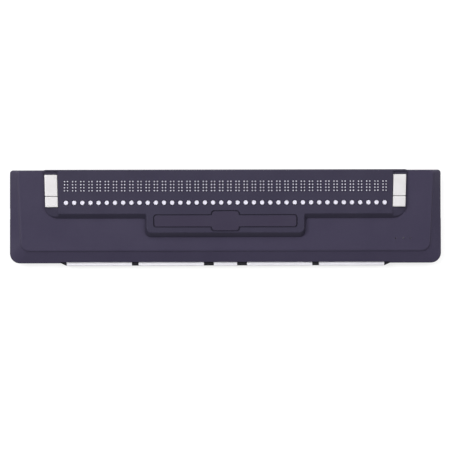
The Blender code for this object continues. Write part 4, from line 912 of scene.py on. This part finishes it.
def make_sockets(shell_material, tongue_material):
    """Thin plated linings of the two sockets, each with its contact tongue."""
    face = HALF_WIDTH - SIDE_RECESS - SEAM_GAP
    back = face - SOCKET_DEPTH
    for number, y in enumerate(SOCKET_PLACES_Y, 1):

        def lining(bm):
            outer = moved(bar(0.00345, 0.00145, 0.0010), y, SOCKET_Z)
            inner = moved(bar(0.0032, 0.0012, 0.0008), y, SOCKET_Z)
            levels = ((outer, back), (outer, face - 0.0001), (inner, face), (inner, back + 0.0003))
            loft(bm, [[Vector((x, p.x, p.y)) for p in points] for points, x in levels])

        def tongue(bm):
            points = moved(bar(0.0024, 0.00035, 0.0003, 3), y, SOCKET_Z)
            prism(bm, points, back + 0.0004, face - 0.0012, "YZ")

        shell = new_piece(f"socket_lining_{number}", lining, shell_material)
        place_on(smooth(shell), "housing", "circuit_board")
        blade = new_piece(f"socket_tongue_{number}", tongue, tongue_material)
        place_on(smooth(soften(blade, 0.00012, 2)), "housing", "black_plastic")


# Reading panel and what stands in it


def make_reading_panel(material):
    """Raised panel with rounded edges, pin and key holes, the plate's pocket and the side keys' openings."""

    def over_palm(y):
        return palm_z(y) + SEAM_GAP

    def build(bm):
        top, foot = at(panel_outline(0), PANEL_TOP_Z), at(panel_outline(1), over_palm)
        rings = [at(panel_outline(0, -0.0011), PANEL_TOP_Z)]
        rings += arc_rings(at(panel_outline(0, -0.0004), PANEL_TOP_Z), top, between(top, foot, 0.08), 4)
        rings += [between(top, foot, share) for share in (0.4, 0.7, 0.97)]
        rings += [foot, at(panel_outline(1, -PANEL_WALL), over_palm)]
        rings.append(at(panel_outline(PANEL_SKIN / PANEL_WALL_HEIGHT, -PANEL_SKIN), PANEL_UNDERSIDE_Z))
        loft(bm, rings)

    def groove(bm):
        prism(bm, plate_outline(PLATE_GROOVE), PLATE_GROOVE_FLOOR_Z, PANEL_TOP_Z + OVERRUN)

    def seat(bm):
        seat_z = PANEL_TOP_Z - PLATE_THICKNESS - SEAM_GAP
        prism(bm, plate_outline(-PLATE_INSET), PANEL_UNDERSIDE_Z + 0.0001, seat_z)

    def holes(bm):
        low, edge, high = PANEL_UNDERSIDE_Z - 0.0004, PANEL_TOP_Z - HOLE_EDGE, PANEL_TOP_Z + 0.0002
        for_pins = [(x, y, PIN_HOLE_RADIUS, 16) for x, y in pin_places()]
        key_radius = ROUTING_KEY_RADIUS + SEAM_GAP
        for_keys = [(cell_x(index), ROUTING_KEY_Y, key_radius, 28) for index in range(CELL_COUNT)]
        for x, y, r, sides in for_pins + for_keys:
            lathe(bm, [(0, low), (r, low), (r, edge), (r + high - edge, high), (0, high)], x, y, sides)

    panel = new_piece("panel", build, material)
    for side in (-1, 1):
        combine(panel, corner_filler(side), "UNION")
        combine(panel, side_key_opening(side))
        combine(panel, finger_slot(side))
        combine(panel, corner_ramp(side))
    combine(panel, groove)
    combine(panel, seat, "UNION")
    combine(panel, holes)
    place_on(smooth(panel), "housing", "panel_plastic", "reading_panel")


def side_key_opening(side):
    """The opening for the two side keys at one end of the panel."""

    def build(bm):
        back, front, outer = SIDE_KEY_REAR_Y + SEAM_GAP, SIDE_KEY_FRONT_Y - SEAM_GAP, HALF_WIDTH + OVERRUN
        corners = [
            (side_key_x(front, 0) - SEAM_GAP, front, 0.0006, 4),
            (outer, front, 0.0001, 1),
            (outer, back, 0.0001, 1),
            (side_key_x(back, 0) - SEAM_GAP, back, 0.0006, 4),
        ]
        prism(bm, [(side * p.x, p.y) for p in outline(corners)], SIDE_WALL_TOP_Z, PANEL_TOP_Z + OVERRUN)

    return build


def finger_slot(side):
    """A shallow slot between a rear side key and the back edge."""

    def build(bm):
        back, front = SIDE_KEY_REAR_Y + SEAM_GAP + SIDE_KEY_SLOT, SIDE_KEY_REAR_Y - 0.001
        inner, outer = side_key_x(back, 0) - SEAM_GAP, side_key_x(back, 1) + SEAM_GAP
        floor = rectangle(inner + 0.0002, outer, front, back - 0.0003)
        mouth = rectangle(inner - 0.0002, outer + 0.002, front, back + 0.0002)
        levels = ((floor, PANEL_TOP_Z - SIDE_KEY_SLOT_DEPTH), (mouth, PANEL_TOP_Z + 0.0002))
        loft(bm, [[Vector((side * x, y, z)) for x, y in points] for points, z in levels])

    return build


def corner_filler(side):
    """Fills the hollow under a front corner of the panel, so that the corner can fall away."""

    def build(bm):
        inner, back = SIDE_KEY_INNER_X - 0.0003, SIDE_KEY_FRONT_Y + 0.0010
        foot = panel_outline(1, -0.0014)
        in_wall, shoulder = panel_outline(0.9, -0.0008), panel_outline(0.3, -0.0008)
        kept = [i for i, p in enumerate(foot) if side * p.x > inner and p.y < back]
        low = palm_z(PANEL_STEP_Y)
        levels = ((foot, 0.0150), (foot, low), (in_wall, low + 0.0006), (shoulder, PANEL_TOP_Z - 0.0008))
        rings = []
        for points, z in levels:
            near = points[kept[0] - 1 : kept[-1] + 2]
            ring = [Vector((side * max(side * p.x, inner), min(p.y, back), z)) for p in near]
            rings.append(ring + [Vector((side * inner, back, z))])
        loft(bm, rings)

    return build


def corner_ramp(side):
    """Lets a front corner of the panel fall away to the front and the side, in front of a side key."""

    def build(bm):
        key_y, foot = SIDE_KEY_FRONT_Y - SEAM_GAP, PANEL_STEP_Y - PANEL_STEP_RUN - OVERRUN
        back = key_y + 0.0006
        inner = side_key_x(SIDE_KEY_FRONT_Y, 0) - SEAM_GAP
        rings = []
        for x in (inner, side_key_x(SIDE_KEY_FRONT_Y, 1) + OVERRUN):
            side_drop = (x - inner) * RAMP_TO_SIDE
            ramp = [(y, PANEL_TOP_Z - side_drop - (key_y - y) * RAMP_TO_FRONT) for y in (back, foot)]
            above = [(y, PANEL_TOP_Z + OVERRUN) for y in (foot, back)]
            rings.append([Vector((side * x, y, z)) for y, z in ramp + above])
        loft(bm, rings)

    return build


def pin_places():
    """X and Y of every pin: two columns and four rows in each cell."""
    places = []
    for index in range(CELL_COUNT):
        for column in (-0.5, 0.5):
            for row in (1.5, 0.5, -0.5, -1.5):
                places.append((cell_x(index) + column * DOT_PITCH, DOT_ROWS_Y + row * DOT_PITCH))
    return places


def make_name_plate(material):
    """Bare plate with softened edges, flush in its pocket."""
    points, foot = plate_outline(-PLATE_INSET), PANEL_TOP_Z - PLATE_THICKNESS
    plate = new_piece("bare_plate", lambda bm: prism(bm, points, foot, PANEL_TOP_Z), material)
    place_on(smooth(soften(plate, 0.00016, 2, 50)), "housing", "panel_plastic", "name_plate")


def make_pins(material):
    """The 320 round pins with domed tips, on the carrier and fins that lift them."""
    half_row = cell_x(CELL_COUNT - 1) + DOT_PITCH / 2 + CARRIER_MARGIN

    def build(bm):
        dome = []
        for step in range(6):
            angle = math.radians(90 - 18 * step)
            dome.append((PIN_RADIUS * math.cos(angle), PIN_TOP_Z - PIN_RADIUS * (1 - math.sin(angle)) * 0.9))
        for x, y in pin_places():
            lathe(bm, dome + [(PIN_RADIUS, PIN_FOOT_Z), (0, PIN_FOOT_Z)], x, y, 16)
        carrier = bar(half_row, CARRIER_HALF_DEPTH, 0.0006, 4, DOT_ROWS_Y)
        prism(bm, carrier, CARRIER_FOOT_Z, CARRIER_TOP_Z)
        for row in range(4):
            y = DOT_ROWS_Y + (1.5 - row) * DOT_PITCH
            fin = bar(half_row - 0.0005, FIN_HALF_THICKNESS, 0.0003, 3, y)
            prism(bm, fin, FIN_FOOT_Z + row * FIN_STEP, CARRIER_FOOT_Z + 0.0001)

    pins = new_piece("pins_and_carrier", build, material)
    place_on(smooth(pins, 50), "pins", "pin_plastic", "braille_pins")


def make_routing_keys(material):
    """Forty round keys with a shallow dish and a rounded rim. Each rides on its own body."""
    radius, edge, top = ROUTING_KEY_RADIUS, ROUTING_KEY_EDGE, ROUTING_KEY_TOP_Z
    flange, flange_top, foot = radius + ROUTING_FLANGE, ROUTING_FLANGE_TOP_Z, ROUTING_FLANGE_FOOT_Z
    dish = [(0, top - 0.00010), (0.0005, top - 0.00009), (0.0009, top - 0.00006), (0.0012, top - 0.00002)]
    rim = []
    for step in range(5):
        angle = math.radians(90 - 22.5 * step)
        rim.append((radius - edge * (1 - math.cos(angle)), top - edge * (1 - math.sin(angle))))
    profile = dish + rim + [(radius, flange_top), (flange, flange_top), (flange, foot), (0, foot)]
    first = new_piece("routing_cap_01", lambda bm: lathe(bm, profile, sides=28), material)
    smooth(first, 50)
    for index in range(CELL_COUNT):
        number = f"{index + 1:02d}"
        cap = first if index == 0 else link("routing_cap_" + number, first.data)
        cap.location = (cell_x(index), ROUTING_KEY_Y, 0)
        place_on(cap, "routing_" + number, "white_plastic", "routing_key_" + number)


def make_side_keys(material):
    """Two keys at each end of the row, with rounded edges and a slight crown, hooked under the panel."""
    half_gap = SEAM_GAP / 2
    rear = ("rear", SIDE_KEY_SPLIT_Y + half_gap, SIDE_KEY_REAR_Y)
    front = ("front", SIDE_KEY_FRONT_Y, SIDE_KEY_SPLIT_Y - half_gap)
    for word, side in (("left", -1), ("right", 1)):
        for place, low_y, high_y in (rear, front):

            def key_outline(inset):
                places = [(0, low_y, inset, inset), (1, low_y, -inset, inset), (1, high_y, -inset, -inset)]
                places.append((0, high_y, inset, -inset))
                corners = [(side_key_x(y, across) + dx, y + dy, 0.0005, 4) for across, y, dx, dy in places]
                return [Vector((side * p.x, p.y)) for p in outline(corners, 8)]

            def build(bm):
                crown = SIDE_KEY_TOP_Z - 0.00004
                rings = [at(key_outline(0.0022), SIDE_KEY_TOP_Z), at(key_outline(0.0012), crown + 0.00002)]
                inner, edge = at(key_outline(0.0005), crown), at(key_outline(0), crown)
                rings += arc_rings(inner, edge, at(key_outline(0), SIDE_KEY_TOP_Z - 0.0006), 4)
                rings.append(at(key_outline(0), SIDE_KEY_FOOT_Z))
                loft(bm, rings)

            def hook(bm):
                under_panel = [(side_key_x(y, 0) - SIDE_KEY_HOOK, y) for y in (low_y, high_y)]
                in_key = [(side_key_x(y, 0) + 0.001, y) for y in (high_y, low_y)]
                points = [(side * x, y) for x, y in under_panel + in_key]
                prism(bm, points, SIDE_KEY_FOOT_Z, SIDE_KEY_HOOK_TOP_Z)

            key = new_piece(f"side_cap_{word}_{place}", build, material)
            combine(key, hook, "UNION")
            place_on(smooth(key), f"side_{word}_{place}", "white_plastic", f"side_key_{word}_{place}")


def make_thumb_keys(material):
    """Five bars in the front lip, each with a flange behind the wall."""
    front, back = CASE_FRONT_Y - THUMB_KEY_REACH, CASE_FRONT_Y + THUMB_FLANGE_BACK
    shoulder = CASE_FRONT_Y + CASE_WALL + SEAM_GAP
    foot, top = THUMB_KEY_FOOT_Z, THUMB_KEY_TOP_Z
    face_edges, back_edges = ((foot, 0.0005, 4), (top, 0.0012, 7)), ((foot, 0.0001, 1), (top, 0.0001, 1))
    under, over = ([(front, *face), (back, *behind)] for face, behind in zip(face_edges, back_edges))
    section = outline(under + over[::-1])
    for name, (low, high) in THUMB_KEYS.items():
        cap_name, node = name.replace("thumb", "thumb_cap"), name.replace("thumb", "thumb_key")
        key = new_piece(cap_name, lambda bm: prism(bm, section, low, high, "YZ"), material)
        soften(key, 0.0004, 3)
        flange = rectangle(low - THUMB_FLANGE, high + THUMB_FLANGE, shoulder, back)
        combine(key, lambda bm: prism(bm, flange, foot, top), "UNION")
        place_on(smooth(key), name, "white_plastic", node)


def make_power_button(material):
    """Oval push button in the left side, with a flange behind the wall."""
    face, wall_inside = -HALF_WIDTH + SIDE_RECESS / 2, -HALF_WIDTH + CASE_WALL + SEAM_GAP
    back = wall_inside + 0.0010

    def placed(points):
        return moved(points, POWER_BUTTON_Y, POWER_BUTTON_Z)

    def stem(bm):
        full, small = placed(bar(0.0032, 0.0013, 0.0010)), placed(bar(0.0028, 0.0009, 0.0008))
        levels = ((small, face), (full, face + 0.0004), (full, back))
        loft(bm, [[Vector((x, p.x, p.y)) for p in points] for points, x in levels])

    button = new_piece("power_cap", stem, material)
    flange = placed(bar(0.0040, 0.0013, 0.0004, 3))
    combine(button, lambda bm: prism(bm, flange, wall_inside, back, "YZ"), "UNION")
    place_on(smooth(button), "power", "black_plastic", "power_button")


# Table, light and camera


def make_table(material):
    """A wide table top, whose round corners are far outside the view."""
    points = bar(3.0, 3.0, 0.3, 12)
    new_piece("table_top", lambda bm: prism(bm, points, -0.03, -0.00001), material)


def add_lamp(name, place, width, depth, power):
    """A soft box that faces the middle of the unit."""
    light = bpy.data.lights.new(name, "AREA")
    light.shape = "RECTANGLE"
    light.size = width
    light.size_y = depth
    light.energy = power
    lamp = link(name, light)
    lamp.location = place
    lamp.rotation_euler = (-Vector(place)).to_track_quat("-Z", "Y").to_euler()


def add_camera(aim, distance, tilt, roll, lens):
    """Looks down at the aim from a distance, tilted towards the reader and rolled a little, in degrees."""
    data = bpy.data.cameras.new("camera")
    data.lens = lens
    data.sensor_width = 36
    data.clip_end = 20
    camera = link("camera", data)
    slope = math.radians(tilt)
    camera.location = Vector(aim) + distance * Vector((0, -math.sin(slope), math.cos(slope)))
    turn = Matrix.Rotation(slope, 4, "X") @ Matrix.Rotation(math.radians(roll), 4, "Z")
    camera.rotation_euler = turn.to_euler()
    bpy.context.scene.camera = camera


def set_light():
    """Soft, even light: a strong box on the left, a weaker one on the right and a weak one behind."""
    world = bpy.data.worlds.new("studio")
    world.use_nodes = True
    background = world.node_tree.nodes["Background"]
    background.inputs["Color"].default_value = (1, 1, 1, 1)
    background.inputs["Strength"].default_value = 0.30
    bpy.context.scene.world = world
    add_lamp("left_box", (-2.4, 0.9, 3.2), 2.2, 2.2, 160)
    add_lamp("right_box", (2.6, 1.2, 3.6), 2.4, 2.4, 96)
    add_lamp("back_box", (0.1, 1.7, 1.5), 1.8, 0.8, 24)
    bpy.context.scene.view_settings.view_transform = "Standard"


def main():
    add_camera(aim=(-0.0003, -0.0058, 0.0150), distance=1.435, tilt=1.0, roll=-0.12, lens=146.1)
    set_light()

    case_colours, panel_colours = (rgb(52, 48, 65), rgb(55, 51, 68)), (rgb(47, 44, 59), rgb(50, 47, 62))
    plate_colours, base_colours = (rgb(49, 44, 60), rgb(51, 47, 62)), (rgb(28, 27, 32), rgb(33, 32, 37))
    indigo = moulded_plastic("indigo_moulded", *case_colours, 0.42, height=0.00003, polish=palm_polish)
    panel_indigo = moulded_plastic("indigo_panel", *panel_colours, 0.40, grain=0.00028)
    plate_indigo = moulded_plastic("indigo_plate", *plate_colours, 0.38, grain=0.00022, height=0.00001)
    black = moulded_plastic("black_moulded", *base_colours, 0.55)
    side_white = key_plastic("white_side_keys", rgb(188, 186, 188), rgb(182, 180, 181), 0.40)
    thumb_white = key_plastic("white_thumb_keys", rgb(216, 215, 221), rgb(210, 208, 215), 0.36)
    cap_white = key_plastic("white_routing_caps", rgb(192, 190, 202), rgb(184, 181, 196), 0.36)
    # The first colour is the painted highlight at the pin tips, the second the painted shade lower down.
    pin_white = nylon("white_pins", rgb(216, 214, 226), rgb(176, 173, 188))
    foot = rubber("foot_rubber_ribbed", rgb(22, 22, 24), rgb(58, 57, 58))
    screw_steel = steel("black_oxide_steel", rgb(44, 44, 48), rgb(70, 70, 74), 0.35)
    tin = steel("tin_plate", rgb(196, 196, 200), rgb(170, 170, 176), 0.28)
    lens = smoked_lens("smoked_windows")

    make_top_cover(indigo)
    make_indicators(lens)
    make_base_cover(black)
    make_feet(foot)
    make_screws(screw_steel)
    make_sockets(tin, black)
    make_reading_panel(panel_indigo)
    make_name_plate(plate_indigo)
    make_pins(pin_white)
    make_routing_keys(cap_white)
    make_side_keys(side_white)
    make_thumb_keys(thumb_white)
    make_power_button(black)
    for node, material in (
        ("braille_cells", ceramic_cells("cell_mechanisms")),
        ("circuit_boards", fitted_boards("boards_and_switches")),
        ("battery_pack", battery_wrap("blue_shrink_wrap")),
    ):
        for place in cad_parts[node].material_slots:
            place.material = material
    make_table(pale_table("pale_table_top"))


main()
